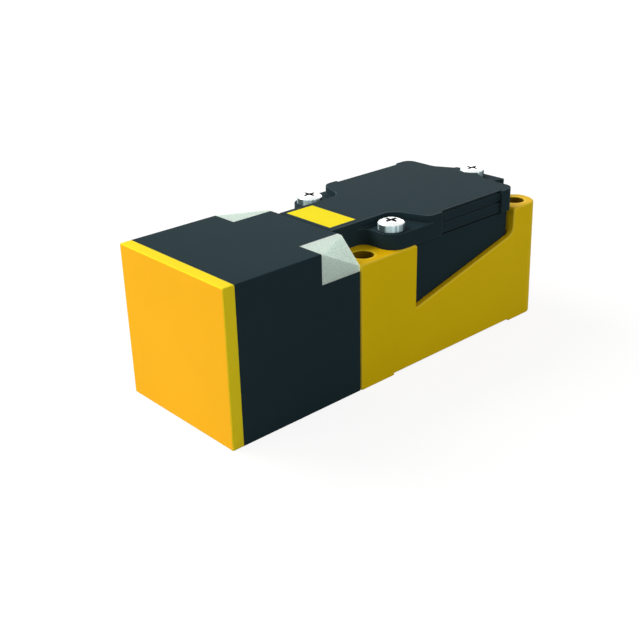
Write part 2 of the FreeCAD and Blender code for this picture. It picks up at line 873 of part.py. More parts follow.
def make_terminal_chamber():
    """Open tub that stands in the base and takes the wiring."""
    body = new_body("terminal_chamber")
    ends = [("chamber_front", "chamber_half"), ("chamber_rear", "chamber_half")]
    shell = new_sketch(body, "XY_Plane", "base_floor")
    draw_polygon(shell, mirrored(ends))
    pad(body, shell, "chamber_top - base_floor")
    round_edges(body, "chamber_corner_radius", upright_at(*ends))
    hollow = new_sketch(body, "XY_Plane", "base_floor + chamber_floor")
    inner = "chamber_half - chamber_wall"
    inside = [("chamber_front + chamber_wall", inner), ("chamber_rear - chamber_wall", inner)]
    draw_polygon(hollow, mirrored(inside))
    pocket(body, hollow, "base_top")
    grommet = new_sketch(body, "YZ_Plane", "chamber_front - chamber_wall")
    draw_circle(grommet, "0", "section / 2", "grommet_waist_radius + grommet_gap")
    pocket(body, grommet, "3 * chamber_wall")
    entry = new_sketch(body, "YZ_Plane", "chamber_rear - 2 * chamber_wall")
    draw_circle(entry, "0", "entry_height", "entry_radius + chamber_entry_gap")
    pocket(body, entry, "4 * chamber_wall")
    return body


def make_lead_grommet():
    """Rubber spool that seals the leads in the chamber's front wall."""
    body = head_body("lead_grommet")
    revolve(body, [
        ("grommet_front - grommet_flange", "grommet_bore"),
        ("grommet_front - grommet_flange", "grommet_flange_radius"),
        ("grommet_front", "grommet_flange_radius"),
        ("grommet_front", "grommet_waist_radius"),
        ("grommet_rear", "grommet_waist_radius"),
        ("grommet_rear", "grommet_flange_radius"),
        ("grommet_rear + grommet_flange", "grommet_flange_radius"),
        ("grommet_rear + grommet_flange", "grommet_bore"),
    ])
    return body


def make_lead_wires():
    """Four leads that run from the head through the spigot and spread to the terminals."""
    leads = []
    for index, pole in enumerate(POLES):
        body = head_body(f"lead_{index}")
        close = f"{pole} * lead_pitch"
        wide = f"{pole} * pole_pitch"
        ring = new_sketch(body, "YZ_Plane", "lead_start")
        draw_circle(ring, close, "0", "lead_radius")
        path = new_sketch(body, "XY_Plane")
        draw_polygon(path, [
            ("lead_start", close),
            ("lead_spread_start", close),
            ("lead_spread_end", wide),
            ("lead_end", wide),
        ], closed=False)
        feature = add_feature(body, "AdditivePipe", ring)
        feature.Spine = (path, [])
        feature.Transition = "Round corner"
        finish(body, feature, True)
        leads.append(body)
    return group("lead_wires", leads)


def make_terminal_block():
    """Insulating block with one cage pocket and one driver well for each pole."""
    body = new_body("terminal_block", z="base_floor + chamber_floor")
    stand = "base_floor + chamber_floor"
    axis = f"section / 2 - ({stand})"
    outline = new_sketch(body, "XY_Plane")
    block_end = "block_start + block_length"
    draw_polygon(outline, mirrored([("block_start", "block_half"), (block_end, "block_half")]))
    pad(body, outline, f"block_top - ({stand})")
    cages = new_sketch(body, "YZ_Plane", "cage_start - cage_gap")
    wells = new_sketch(body, "XY_Plane", f"{axis} + cage_height / 2 - cage_wall")
    ports = new_sketch(body, "YZ_Plane", "block_start - cage_gap")
    for pole in POLES:
        centre = f"{pole} * pole_pitch"
        draw_box(
            cages,
            f"{centre} - cage_width / 2 - cage_gap",
            f"{axis} - cage_height / 2 - cage_gap",
            f"{centre} + cage_width / 2 + cage_gap",
            f"{axis} + cage_height / 2 + cage_gap",
        )
        draw_circle(wells, "cage_start + cage_length / 2", centre, "clamp_head_radius + clamp_well_gap")
        draw_circle(ports, centre, axis, "lead_radius + cage_gap")
    pocket(body, cages, "block_length")
    pocket(body, wells, "block_top")
    pocket(body, ports, "block_length / 2")
    return body


def make_clamp_cages():
    """Brass cages that the leads enter, one for each pole."""
    cages = []
    for index, pole in enumerate(POLES):
        body = head_body(f"cage_{index}")
        centre = f"{pole} * pole_pitch"
        frame = new_sketch(body, "YZ_Plane", "cage_start")
        for inset in ("0", "cage_wall"):
            draw_box(
                frame,
                f"{centre} - cage_width / 2 + {inset}",
                f"-cage_height / 2 + {inset}",
                f"{centre} + cage_width / 2 - {inset}",
                f"cage_height / 2 - {inset}",
            )
        pad(body, frame, "cage_length")
        tapped = new_sketch(body, "XY_Plane", "cage_height / 2 - 2 * cage_wall")
        draw_circle(tapped, "cage_start + cage_length / 2", centre, "clamp_radius + insert_clearance")
        pocket(body, tapped, "3 * cage_wall")
        cages.append(body)
    return group("clamp_cages", cages)


def make_clamp_screws():
    """Slotted screws that close the cages."""
    screws = []
    tip = "section / 2 + cage_height / 2 - cage_wall - clamp_radius / 2"
    for index, pole in enumerate(POLES):
        x = "cage_start + cage_length / 2"
        y = f"{pole} * pole_pitch"
        shank = primitive("Cylinder", f"clamp_shank_{index}", Radius="clamp_radius", Height="clamp_length")
        place(shank, x=x, y=y, z=tip)
        head = primitive("Cylinder", f"clamp_head_{index}", Radius="clamp_head_radius")
        bind(head, Height="clamp_head_height")
        place(head, x=x, y=y, z=f"{tip} + clamp_length")
        slot = primitive(
            "Box",
            f"clamp_slot_{index}",
            Length="3 * clamp_head_radius",
            Width="clamp_slot",
            Height="clamp_head_height",
        )
        place(
            slot,
            x=f"{x} - 1.5 * clamp_head_radius",
            y=f"{y} - clamp_slot / 2",
            z=f"{tip} + clamp_length + clamp_head_height - clamp_slot_depth",
        )
        blank = boolean("Fuse", f"clamp_blank_{index}", shank, head)
        screws.append(boolean("Cut", f"clamp_screw_{index}", blank, slot))
    return group("clamp_screws", screws)


def make_threaded_inserts():
    """Brass bushes in the base that take the cover screws."""
    bushes = []
    for label, (x, y) in SCREWS.items():
        outer = primitive("Cylinder", f"{label}_bush", Radius="insert_radius", Height="insert_length")
        place(outer, x=x, y=y, z="base_top - insert_length")
        bore = primitive("Cylinder", f"{label}_thread", Radius="thread_radius")
        bind(bore, Height="3 * insert_length")
        place(bore, x=x, y=y, z="base_top - 2 * insert_length")
        bushes.append(boolean("Cut", f"{label}_insert", outer, bore))
    return group("threaded_inserts", bushes)


def make_cover():
    """Two-level lid: a low flange with screw ears under a plateau with swept shoulders and ribbed grips."""
    body = new_body("cover")
    flange = new_sketch(body, "XY_Plane", "base_top")
    draw_polygon(flange, mirrored([
        ("base_front", "neck_half"),
        ("ear_front", "neck_half"),
        ("ear_front", "cover_half"),
        ("cover_rear", "cover_half"),
        ("cover_rear", "tab_root_half"),
        ("tab_waist", "tab_waist_half"),
        ("tab_rear", "tab_half"),
    ]))
    pad(body, flange, "flange_top - base_top")
    round_edges(body, "ear_hollow_radius", upright_at(("ear_front", "neck_half")))
    round_edges(body, "ear_round_radius", upright_at(("ear_front", "cover_half")))
    round_edges(body, "tab_waist_radius", upright_at(("tab_waist", "tab_waist_half")))
    round_edges(body, "tab_corner_radius", upright_at(("tab_rear", "tab_half")))
    plateau = new_sketch(body, "XY_Plane", "flange_top")
    draw_polygon(plateau, mirrored([
        ("base_front", "neck_half"),
        ("shoulder_start", "neck_half"),
        ("shoulder_end", "cover_half"),
        ("cover_rear", "cover_half"),
        ("cover_rear", "horn_root_half"),
        ("horn_rear", "horn_half"),
    ]))
    pad(body, plateau, "section - flange_top")
    round_edges(body, "shoulder_hollow_radius", upright_at(("shoulder_start", "neck_half")))
    round_edges(body, "shoulder_round_radius", upright_at(("shoulder_end", "cover_half")))
    round_edges(body, "horn_hollow_radius", upright_at(("cover_rear", "horn_root_half")))
    round_edges(body, "cover_corner_radius", upright_at(("cover_rear", "cover_half")))
    recess = new_sketch(body, "XY_Plane", "flange_top")
    draw_circle(recess, "screw_rear", "0", "screw_recess_radius")
    pocket(body, recess, "section")
    grips = new_sketch(body, "XY_Plane", "base_top / 2")
    grooves = new_sketch(body, "YZ_Plane", "grip_start")
    for side in "+-":
        wall = f"{side}(cover_half - grip_depth)"
        draw_box(grips, "grip_start", wall, "grip_end", f"{side}section")
        for low in ("grip_groove_low", "grip_groove_high"):
            floor = f"{side}(cover_half - grip_depth - grip_groove_depth)"
            draw_box(grooves, floor, low, f"{side}section", f"{low} + grip_groove_height")
    pocket(body, grips, "section")
    round_edges(body, "cover_edge_radius", level_at("section"))
    pocket(body, grooves, "grip_end - grip_start")
    cavities = new_sketch(body, "XY_Plane", "base_top / 2")
    neck_inner = "neck_half - neck_cavity_wall"
    neck_start = "base_front + neck_cavity_wall"
    draw_polygon(cavities, mirrored([(neck_start, neck_inner), ("neck_cavity_end", neck_inner)]))
    draw_polygon(cavities, mirrored([("cavity_front", "cavity_half"), ("cavity_rear", "cavity_half")]))
    pocket(body, cavities, "section - cover_roof - base_top / 2")
    groove = new_sketch(body, "XY_Plane", "base_top / 2")
    draw_gasket_ring(groove, "gasket_play")
    pocket(body, groove, "chamber_top + gasket_height - base_top / 2")
    marker = new_sketch(body, "XY_Plane", "section - marker_thickness")
    draw_box(
        marker,
        "marker_start - marker_gap",
        "-marker_half - marker_gap",
        "marker_start + marker_length + marker_gap",
        "marker_half + marker_gap",
    )
    pocket(body, marker, "section")
    holes = new_sketch(body, "XY_Plane", "base_top / 2")
    for x, y in SCREWS.values():
        draw_circle(holes, x, y, "screw_hole_radius")
    pocket(body, holes, "section")
    return body


def draw_gasket_ring(sketch, play):
    """Draw the seal's two outlines, centred on the chamber's rim and widened by a play."""
    inset = "(chamber_wall - gasket_width) / 2"
    for shift in (f"{inset} - {play}", f"{inset} + gasket_width + {play}"):
        front = f"chamber_front + {shift}"
        rear = f"chamber_rear - ({shift})"
        side = f"chamber_half - ({shift})"
        draw_polygon(sketch, mirrored([(front, side), (rear, side)]))


def make_cover_gasket():
    """Flat ring seal between the chamber's rim and the cover."""
    body = new_body("cover_gasket")
    ring = new_sketch(body, "XY_Plane", "chamber_top")
    draw_gasket_ring(ring, "0")
    pad(body, ring, "gasket_height")
    return body


def make_marker_plate():
    """Blank plate let into the top of the cover's neck."""
    body = new_body("marker_plate")
    plate = new_sketch(body, "XY_Plane", "section - marker_thickness")
    draw_box(plate, "marker_start", "-marker_half", "marker_start + marker_length", "marker_half")
    pad(body, plate, "marker_thickness")
    return body


def make_cover_screw(label, x, y):
    """Domed cross-recess screw that holds the cover down."""
    top = "flange_top + screw_head_height"
    side = primitive("Cylinder", f"{label}_side", Radius="screw_head_radius", Height="screw_head_height")
    place(side, x=x, y=y, z="flange_top")
    dome = primitive("Sphere", f"{label}_dome", Radius="screw_dome_radius")
    place(dome, x=x, y=y, z=f"{top} - screw_dome_radius")
    head = boolean("Common", f"{label}_head", side, dome)
    shank = primitive("Cylinder", f"{label}_shank", Radius="screw_radius")
    bind(shank, Height="screw_length + screw_head_height / 4")
    place(shank, x=x, y=y, z="flange_top - screw_length")
    shape = boolean("Fuse", f"{label}_blank", head, shank)
    arms = (("screw_cross_span", "screw_cross_width"), ("screw_cross_width", "screw_cross_span"))
    for turn, (along, across) in enumerate(arms):
        arm = primitive("Box", f"{label}_arm_{turn}", Length=along, Width=across)
        bind(arm, Height="2 * screw_cross_depth")
        place(arm, x=f"{x} - {along} / 2", y=f"{y} - {across} / 2", z=f"{top} - screw_cross_depth")
        shape = boolean("Cut", f"{label}_cut_{turn}", shape, arm)
    shape.Label = label
    return shape


def build():
    """Make every node in the order of the piece list."""
    nodes = [
        make_sensing_face(),
        make_head_housing(),
        make_ferrite_core(),
        make_coil_bobbin(),
        make_coil_winding(),
        make_oscillator_board(),
        make_board_chips(),
        make_led_board(),
        make_status_leds(),
        make_potting_block(),
        make_head_seal(),
        make_lock_ring(),
    ]
    nodes += [
        make_lens("corner_lens_left", "+"),
        make_lens("corner_lens_right", "-"),
        make_mounting_base(),
        make_terminal_chamber(),
        make_lead_grommet(),
        make_lead_wires(),
        make_terminal_block(),
        make_clamp_cages(),
        make_clamp_screws(),
        make_threaded_inserts(),
        make_cover(),
        make_cover_gasket(),
        make_marker_plate(),
    ]
    nodes += [make_cover_screw(label, x, y) for label, (x, y) in SCREWS.items()]
    doc.recompute()
    return nodes


def export(nodes):
    """Refuse broken objects, then write one STEP file for each node."""
    for thing in doc.Objects:
        if {"Invalid", "Error"} & set(thing.State):
            raise RuntimeError(f"{thing.Label} is {thing.State}")
    os.makedirs("parts", exist_ok=True)
    for node in nodes:
        if node.Shape.isNull() or not node.Shape.isValid():
            raise RuntimeError(f"{node.Label} has no valid shape")
        node.Shape.exportStep(f"parts/{node.Label}.step")
        print(node.Label, len(node.Shape.Solids), "solids", round(node.Shape.Volume, 1), "mm3")


export(build())
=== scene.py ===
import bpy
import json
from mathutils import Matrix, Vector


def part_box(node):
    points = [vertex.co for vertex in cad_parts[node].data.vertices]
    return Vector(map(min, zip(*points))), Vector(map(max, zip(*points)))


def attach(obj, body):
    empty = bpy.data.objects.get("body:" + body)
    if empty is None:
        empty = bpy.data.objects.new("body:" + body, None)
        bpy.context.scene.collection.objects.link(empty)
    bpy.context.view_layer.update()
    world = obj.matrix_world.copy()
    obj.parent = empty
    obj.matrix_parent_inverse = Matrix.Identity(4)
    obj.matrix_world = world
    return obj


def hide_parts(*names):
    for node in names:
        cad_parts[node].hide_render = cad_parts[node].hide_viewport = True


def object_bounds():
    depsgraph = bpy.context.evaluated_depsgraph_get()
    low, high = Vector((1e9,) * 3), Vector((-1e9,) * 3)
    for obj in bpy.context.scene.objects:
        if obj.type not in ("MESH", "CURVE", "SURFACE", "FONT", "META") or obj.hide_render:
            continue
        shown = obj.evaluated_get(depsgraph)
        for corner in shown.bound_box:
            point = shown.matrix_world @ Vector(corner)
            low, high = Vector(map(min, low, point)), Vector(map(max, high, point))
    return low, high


bl_info = {
    "name": "Turning-Head Proximity Sensor",
    "version": (1, 0, 0),
    "blender": (4, 5, 0),
    "location": "View3D > Sidebar > Sensor",
    "description": "Dresses a packed block sensor with finishes, cut threads, wound wire and a studio stage",
    "category": "Object",
}

import json

import bpy
import numpy as np
from bpy.props import FloatProperty, FloatVectorProperty, PointerProperty
from mathutils import Matrix

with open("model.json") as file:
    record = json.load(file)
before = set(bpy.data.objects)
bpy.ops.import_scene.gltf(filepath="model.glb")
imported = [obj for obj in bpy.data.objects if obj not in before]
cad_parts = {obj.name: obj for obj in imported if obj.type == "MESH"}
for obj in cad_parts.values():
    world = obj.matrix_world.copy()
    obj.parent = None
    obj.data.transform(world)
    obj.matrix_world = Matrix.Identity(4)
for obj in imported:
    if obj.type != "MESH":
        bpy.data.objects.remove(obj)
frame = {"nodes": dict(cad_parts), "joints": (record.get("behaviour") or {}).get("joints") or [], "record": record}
CAD_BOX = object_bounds()
TURN = 2 * np.pi
MM_PER_M = 1000
SHARP_DEG = 38
GRAIN_DEPTH = 0.00003
STREAK_DEPTH = 0.00001
SCREW_LOW, SCREW_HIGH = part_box("cover_screw_rear")
MOUNTS = {mount["name"]: mount for mount in frame["record"]["mounts"]}
ENTRY, HOLES = MOUNTS["cable_entry"], MOUNTS["mounting_holes"]
SCREW_JOINTS = [joint for joint in frame["joints"] if joint["child"].startswith("screw_")]
# Places of a Mix node's colour sockets, which share their names with its other sockets
COLOUR_SOCKETS = {"Factor": 0, "A": 6, "B": 7}
COLOUR_RESULT = 2
# Painted reflection bands down the side of a screw's head: their middle, their repeats in a turn, their places and
# their tones of painted light and shade
PAINTED_BAND_FACING_DEG = 223.3
BAND_REPEATS = 3
BAND_DEG = (-60, -30, -20, 2, 5, 14, 18, 23, 27, 31, 36, 54, 60)
BAND_PAINTED_LIGHT = (0.05, 0.06, 0.7, 0.8, 1.0, 1.0, 0.5, 0.52, 1.0, 1.0, 0.5, 0.42, 0.05)


def length(name, description, metres):
    """Describe a size in metres that a user may change."""
    return FloatProperty(
        name=name, description=description, default=metres, min=0.0, precision=5, unit="LENGTH"
    )


def tint(name, description, colour):
    """Describe a linear colour that a user may change."""
    return FloatVectorProperty(
        name=name, description=description, default=colour, size=3, min=0.0, max=1.0, subtype="COLOR"
    )


def amount(name, description, number, most=1.0):
    """Describe a plain number from zero up to a limit that a user may change."""
    return FloatProperty(name=name, description=description, default=number, min=0.0, max=most)


class CoverScrewSizes(bpy.types.PropertyGroup):
    """Sizes of the three cross-recess screws that hold the cover down."""

    head_radius: length("Head Radius", "Radius of the head's straight side", (SCREW_HIGH.x - SCREW_LOW.x) / 2)
    head_height: length("Head Height", "Height of the crown over the bearing face", 0.00245)
    crown_radius: length("Crown Radius", "Radius of the ball that the middle of the top is part of", 0.05)
    crown_reach: length("Crown Reach", "Distance from the middle to the top of the conical flank", 0.0021)
    flank: amount("Flank", "Fall of the conical flank for each metre outwards", 0.39, 3.0)
    rim: length("Rim", "Width of the bevel between the flank and the straight side", 0.00026)
    shank_radius: length("Shank Radius", "Outer radius of the rolled thread", 0.00175)
    ridge: length("Ridge", "Height of the rolled thread", 0.00034)
    pitch: length("Pitch", "Rise of the thread in one turn", 0.0006)
    neck: length("Neck", "Plain length under the head", 0.0016)
    recess_reach: length("Recess Reach", "Distance from the middle to the end of a recess arm", 0.00187)
    recess_half: length("Recess Half Width", "Half the width of a recess arm", 0.0005)
    recess_depth: length("Recess Depth", "Depth of the recess in the middle", 0.001)


class EntryThreadSizes(bpy.types.PropertyGroup):
    """Sizes of the thread that is cut in the cable entry."""

    radius: length("Wall Radius", "Radius of the thread's roots", ENTRY["dims"]["r_mm"] / MM_PER_M)
    run: length("Run", "Length of the threaded wall", ENTRY["dims"]["length_mm"] / MM_PER_M)
    pitch: length("Pitch", "Rise of the thread in one turn", 0.0015)
    ridge: length("Ridge", "Height of the thread", 0.00081)
    lead_in: length("Lead In", "Bare wall at each end of the thread", 0.0009)


class CoilSizes(bpy.types.PropertyGroup):
    """Sizes of the wound wire in the coil."""

    wire: length("Wire", "Width of one enamelled wire", 0.00046)
    inner_radius: length("Inner Radius", "Radius of the hole through the winding", 0.0069)


class PlasticTints(bpy.types.PropertyGroup):
    """Colours of the moulded and cast parts."""

    face: tint("Sensing Face", "Smooth yellow front plate", (0.95, 0.76, 0.018))
    # Painted light: a warmer tone on the faces that look forward, standing in for warm front light
    front_tone: tint("Sensing Surface Tone", "Tone that warms the plate's front", (1.0, 0.65, 1.0))
    base: tint("Mounting Base", "Warm yellow tray", (0.92, 0.64, 0.004))
    # Painted light: a warmer tone on the tray's upward faces, standing in for warmer light from above
    base_tone: tint("Mounting Base Top Tone", "Tone that warms the tray's upward faces", (1.0, 0.88, 1.0))
    # Painted highlight: lighter colour on the tray's rounded edges
    base_edge: tint("Mounting Base Edges", "Lighter rubbed edges of the tray", (1.0, 0.72, 0.04))
    # Painted shade: darker colour on the walls of the tray's holes
    base_bore: tint("Mounting Holes", "Darker walls of the tray's holes", (0.2, 0.11, 0.001))
    marker: tint("Marker Plate", "Clear yellow blank plate", (0.89, 0.76, 0.003))
    black: tint("Black Housing", "Slate black housing, tub and cover", (0.0185, 0.0365, 0.044))
    # Painted highlight: lighter colour on the cover's rounded edges
    cover_edge: tint("Cover Edges", "Lighter rubbed edges of the cover", (0.13, 0.17, 0.18))
    natural: tint("Terminal Plastic", "Pale grey insulating plastic", (0.56, 0.56, 0.52))
    package: tint("Chip Package", "Black moulded chip package", (0.012, 0.012, 0.013))
    resin: tint("Potting Resin", "Dark cast resin", (0.045, 0.038, 0.03))
    rubber: tint("Seal Rubber", "Black moulded rubber", (0.012, 0.012, 0.012))
    lead_brown: tint("Brown Lead", "Sleeve of the first lead", (0.09, 0.035, 0.014))
    lead_white: tint("White Lead", "Sleeve of the second lead", (0.7, 0.7, 0.66))
    lead_blue: tint("Blue Lead", "Sleeve of the third lead", (0.02, 0.08, 0.4))
    lead_black: tint("Black Lead", "Sleeve of the fourth lead", (0.015, 0.015, 0.016))


class ClearTints(bpy.types.PropertyGroup):
    """Colours of the light guides and lamps."""

    lens: tint("Lens", "Frosted pale green light guide", (0.36, 0.43, 0.36))
    lens_shade: tint("Lens Speckle", "Darker speckle in the light guide", (0.2, 0.32, 0.32))
    # Painted glow: emission that stands in for light the guide would gather and pass on
    glow: tint("Glow", "Light that the guide gathers inside", (0.82, 1.0, 0.88))
    lamp: tint("Lamp", "Pale yellow lamp body", (0.75, 0.8, 0.35))


class MetalTints(bpy.types.PropertyGroup):
    """Colours of the metal and wired parts."""

    plated: tint("Plated Steel", "Bright zinc-plated screw steel", (0.85, 0.87, 0.86))
    # Painted reflection: pale bands that stand in for light reflected down the screw heads' sides
    satin: tint("Satin Plating", "Pale bands down the side of the screws' heads", (0.72, 0.95, 1.0))
    # Painted shade: grey bands between the painted reflections down the screw heads' sides
    shaded: tint("Shaded Plating", "Grey bands down the side of the screws' heads", (0.02, 0.04, 0.045))
    # Painted shade: dark colour that stands in for the shade inside the screws' recesses
    soot: tint("Recess", "Dull dark plating in the screws' recesses", (0.02, 0.022, 0.023))
    brass: tint("Brass", "Turned and bent brass", (0.66, 0.44, 0.14))
    copper: tint("Copper", "Enamelled copper wire", (0.6, 0.19, 0.06))
    spring: tint("Spring Steel", "Oiled spring steel", (0.3, 0.31, 0.32))
    ferrite: tint("Ferrite", "Dark sintered ferrite", (0.022, 0.021, 0.022))
    laminate: tint("Board", "Green varnished laminate", (0.012, 0.11, 0.04))
    pad: tint("Solder Pad", "Tinned copper pad", (0.6, 0.58, 0.52))


class StageLook(bpy.types.PropertyGroup):
    """Strengths and colours of the studio."""

    floor: tint("Floor", "Pale floor under the sensor", (0.86, 0.86, 0.86))
    shadow: amount("Shadow", "Share of the floor's look that its light and shadow make", 0.18)
    ambient: amount("Ambient", "Strength of the even light from all round", 0.2, 5.0)
    front: amount("Front Lamp", "Watts of the lamp before the sensing face", 6.5, 100.0)
    top: amount("Top Lamp", "Watts of the wide lamp above the far side", 11.1, 100.0)
    side: amount("Side Lamp", "Watts of the lamp at the near side", 2.65, 100.0)
    rear: amount("Rear Lamp", "Watts of the lamp behind", 2.5, 100.0)
    top_tint: tint("Top Lamp Colour", "Colour of the wide lamp above the far side", (1.0, 0.93, 0.91))
    side_tint: tint("Side Lamp Colour", "Colour of the lamp at the near side", (0.97, 0.98, 0.97))
    front_tint: tint("Front Lamp Colour", "Colour of the lamp before the sensing face", (1.0, 0.95, 0.93))


def grid_mesh(name, points, closed_rows=False):
    """Make a piece from a grid of points (rows, columns, 3) whose columns close round it.

    Rows that don't close on each other end in two poles, at the means of the first and the last row.
    """
    rows, columns = points.shape[:2]
    index = np.arange(rows * columns).reshape(rows, columns)
    beside = np.roll(index, -1, axis=1)
    following = np.roll(index, -1, axis=0)
    across = np.roll(beside, -1, axis=0)
    used = rows if closed_rows else rows - 1
    quads = np.stack((index, beside, across, following), axis=-1)[:used].reshape(-1, 4)
    faces = quads.tolist()
    corners = points.reshape(-1, 3)
    if not closed_rows:
        poles = np.stack((points[0].mean(axis=0), points[-1].mean(axis=0)))
        first = np.full(columns, rows * columns)
        corners = np.concatenate((corners, poles))
        faces += np.stack((first, beside[0], index[0]), axis=-1).tolist()
        faces += np.stack((first + 1, index[-1], beside[-1]), axis=-1).tolist()
    mesh = bpy.data.meshes.new(name)
    mesh.from_pydata(corners.tolist(), [], faces)
    mesh.validate()
    mesh.shade_smooth()
    mesh.set_sharp_from_angle(angle=np.radians(SHARP_DEG))
    near, side, far = (corners[quads[:, place]] - corners.mean(axis=0) for place in range(3))
    volume = np.einsum("ij,ij->", np.cross(side - near, far - near), near)
    if volume <= 0:
        raise RuntimeError(f"{name} is inside out")
    piece = bpy.data.objects.new(name, mesh)
    bpy.context.scene.collection.objects.link(piece)
    return piece


def mark_points(piece, name, values):
    """Store one value for each grid point of a piece and the mean of the end rows for its poles."""
    marks = np.concatenate((values.ravel(), [values[0].mean(), values[-1].mean()])).astype(np.float32)
    piece.data.attributes.new(name, "FLOAT", "POINT").data.foreach_set("value", marks)


def ease(low, high, values):
    """Return a smooth step from 0 at low to 1 at high."""
    share = np.clip((values - low) / (high - low), 0, 1)
    return share * share * (3 - 2 * share)


def screw_surface(sizes, tip):
    """Return the grid of a screw on its bearing face at z = 0, and its recess, side and tone masks.

    A profile (radius, height) is turned about the z axis: a top, a bevel, the straight side, the flat bearing
    face and the shank. The top falls by radius squared / (2 * crown radius), and outside the crown also by
    flank * the distance from the crown's edge, with a soft turn between the two. The top sinks where the
    larger of |x| and |y| is within the recess reach and the smaller within the arm's half width, less deep
    towards the arm's end. The shank's radius swells by a ridge function of height / pitch - angle / turn.
    The tone is painted reflection and shade: it runs through the same dark and bright bands three times in a turn.
    """
    radius, top, rim = sizes.head_radius, sizes.head_height, sizes.rim
    soft_turn, soft_wall = 0.00008, 0.00005
    foot_bevel, foot_band = 0.0001, 0.0006
    arm_taper, end_rise, recess_shade_gain = 0.25, 0.7, 8
    root_share, flank_share = 0.9, 0.7
    tip_taper, tip_run = 0.0005, 0.0006
    columns = 144
    middle, outer = np.linspace(0.01, 0.66, 62), np.linspace(0.68, 1, 12)
    cap = np.concatenate((middle, outer)) * (radius - rim)
    beyond = soft_turn * np.logaddexp(0, (cap - sizes.crown_reach) / soft_turn)
    fall = cap ** 2 / (2 * sizes.crown_radius) + sizes.flank * beyond
    plain = np.linspace(0, -sizes.neck, 6)
    thread = np.linspace(-sizes.neck, tip, 150)[1:]
    shank_rows = len(plain) + len(thread)
    reach = np.concatenate((
        cap,
        [radius, radius, radius, radius - foot_bevel, sizes.shank_radius],
        np.full(shank_rows, sizes.shank_radius),
    ))
    height = np.concatenate((
        top - fall,
        [top - fall[-1] - rim, foot_band, foot_bevel, 0, 0],
        plain,
        thread,
    ))
    row = np.arange(len(reach))[:, None]
    on_cap, on_shank = row < len(cap), row >= len(reach) - shank_rows
    angle = np.linspace(0, TURN, columns, endpoint=False)
    r, turn = np.meshgrid(reach, angle, indexing="ij")
    z = np.repeat(height[:, None], columns, axis=1)
    x, y = r * np.cos(turn), r * np.sin(turn)
    along = np.maximum(abs(x), abs(y))
    beside = np.minimum(abs(x), abs(y))
    half = sizes.recess_half * (1 + arm_taper - arm_taper * along / sizes.recess_reach)
    inside = 1 - ease(half - soft_wall, half + soft_wall, beside)
    inside *= 1 - ease(sizes.recess_reach - soft_wall, sizes.recess_reach + soft_wall, along)
    recess = np.where(on_cap, inside, 0)
    span = 360 / BAND_REPEATS
    bearing = (np.degrees(turn) - PAINTED_BAND_FACING_DEG + span / 2) % span - span / 2
    masks = {
        # The recess mask carries painted shade into the recess
        "recess": np.clip(recess_shade_gain * recess, 0, 1),
        "side": np.where(r > radius - rim / 2, 1.0, 0.0) * (z > 0),
        # The tone mask places the painted reflection and painted shade bands round the head's side
        "tone": np.interp(bearing, BAND_DEG, BAND_PAINTED_LIGHT),
    }
    z = z - sizes.recess_depth * (1 - end_rise * along / sizes.recess_reach) * recess
    phase = (z / sizes.pitch - turn / TURN) % 1
    ridge = np.clip((root_share - abs(2 * phase - 1)) / flank_share, 0, 1)
    worn = ease(-sizes.neck, -sizes.neck - sizes.pitch, z) * ease(tip, tip + 2 * sizes.pitch, z)
    core = sizes.shank_radius - sizes.ridge
    shank = core + sizes.ridge * np.where(z < -sizes.neck, ridge * worn, 0)
    shank = shank - tip_taper * (1 - ease(tip, tip + tip_run, z))
    r = np.where(on_shank, shank, r)
    surface = np.stack((r * np.cos(turn), r * np.sin(turn), z), axis=-1)
    return surface[::-1], {name: mask[::-1] for name, mask in masks.items()}


def thread_surface(sizes, start):
    """Return the grid of a thread's ridge inside a wall about the x axis.

    A trapezoid profile, its foot in the wall and its crest towards the axis, is carried along a helix:
    x = start + pitch * turns, y = r cos(angle), z = r sin(angle). Its height fades at both ends.
    """
    steps_per_turn, fade = 112, 0.06
    bed, least_rise = 0.00004, 0.00001
    turns = (sizes.run - 2 * sizes.lead_in) / sizes.pitch
    angle = np.linspace(0, TURN * turns, int(steps_per_turn * turns))
    share = np.linspace(0, 1, len(angle))
    rise = sizes.ridge * ease(0, fade, share) * ease(1, 1 - fade, share) + least_rise
    foot, crest = 0.43 * sizes.pitch, 0.07 * sizes.pitch
    offset = np.array([-foot, -foot, -crest, crest, foot, foot])
    depth = np.array([0, 0, 1, 1, 0, 0])
    sunk = np.array([bed, 0, 0, 0, 0, bed])
    r = sizes.radius + sunk - rise[:, None] * depth
    x = start + sizes.lead_in + sizes.pitch * angle[:, None] / TURN + offset
    return np.stack((x, r * np.cos(angle)[:, None], r * np.sin(angle)[:, None]), axis=-1)


def winding_surface(sizes, low, high, outer):
    """Return the grid of a wound coil about the x axis, closed both ways.

    The outline of a rectangle in x and r is turned about the x axis, and each point is drawn towards the
    rectangle's middle by half a wire times 1 - |cos(pi * arc length / wire + half the angle)|, so the turns
    climb by one wire in each turn.
    """
    points_per_wire, columns = 8, 72
    wide, tall = high - low, outer - sizes.inner_radius
    around = 2 * (wide + tall)
    turns = round(around / sizes.wire)
    arc = np.linspace(0, around, turns * points_per_wire, endpoint=False)
    corners = np.cumsum([0, wide, tall, wide, tall])
    x = np.interp(arc, corners, [low, high, high, low, low])
    r = np.interp(arc, corners, [outer, outer, outer - tall, outer - tall, outer])
    angle = np.linspace(0, TURN, columns, endpoint=False)
    groove = 0.5 * sizes.wire * (1 - abs(np.cos(np.pi * arc * turns / around + angle[:, None] / 2)))
    middle_x, middle_r = (low + high) / 2, outer - tall / 2
    pull = groove / np.hypot(x - middle_x, r - middle_r)
    x = x + (middle_x - x) * pull
    r = r + (middle_r - r) * pull
    return np.stack((x, r * np.cos(angle)[:, None], r * np.sin(angle)[:, None]), axis=-1)[:, ::-1]


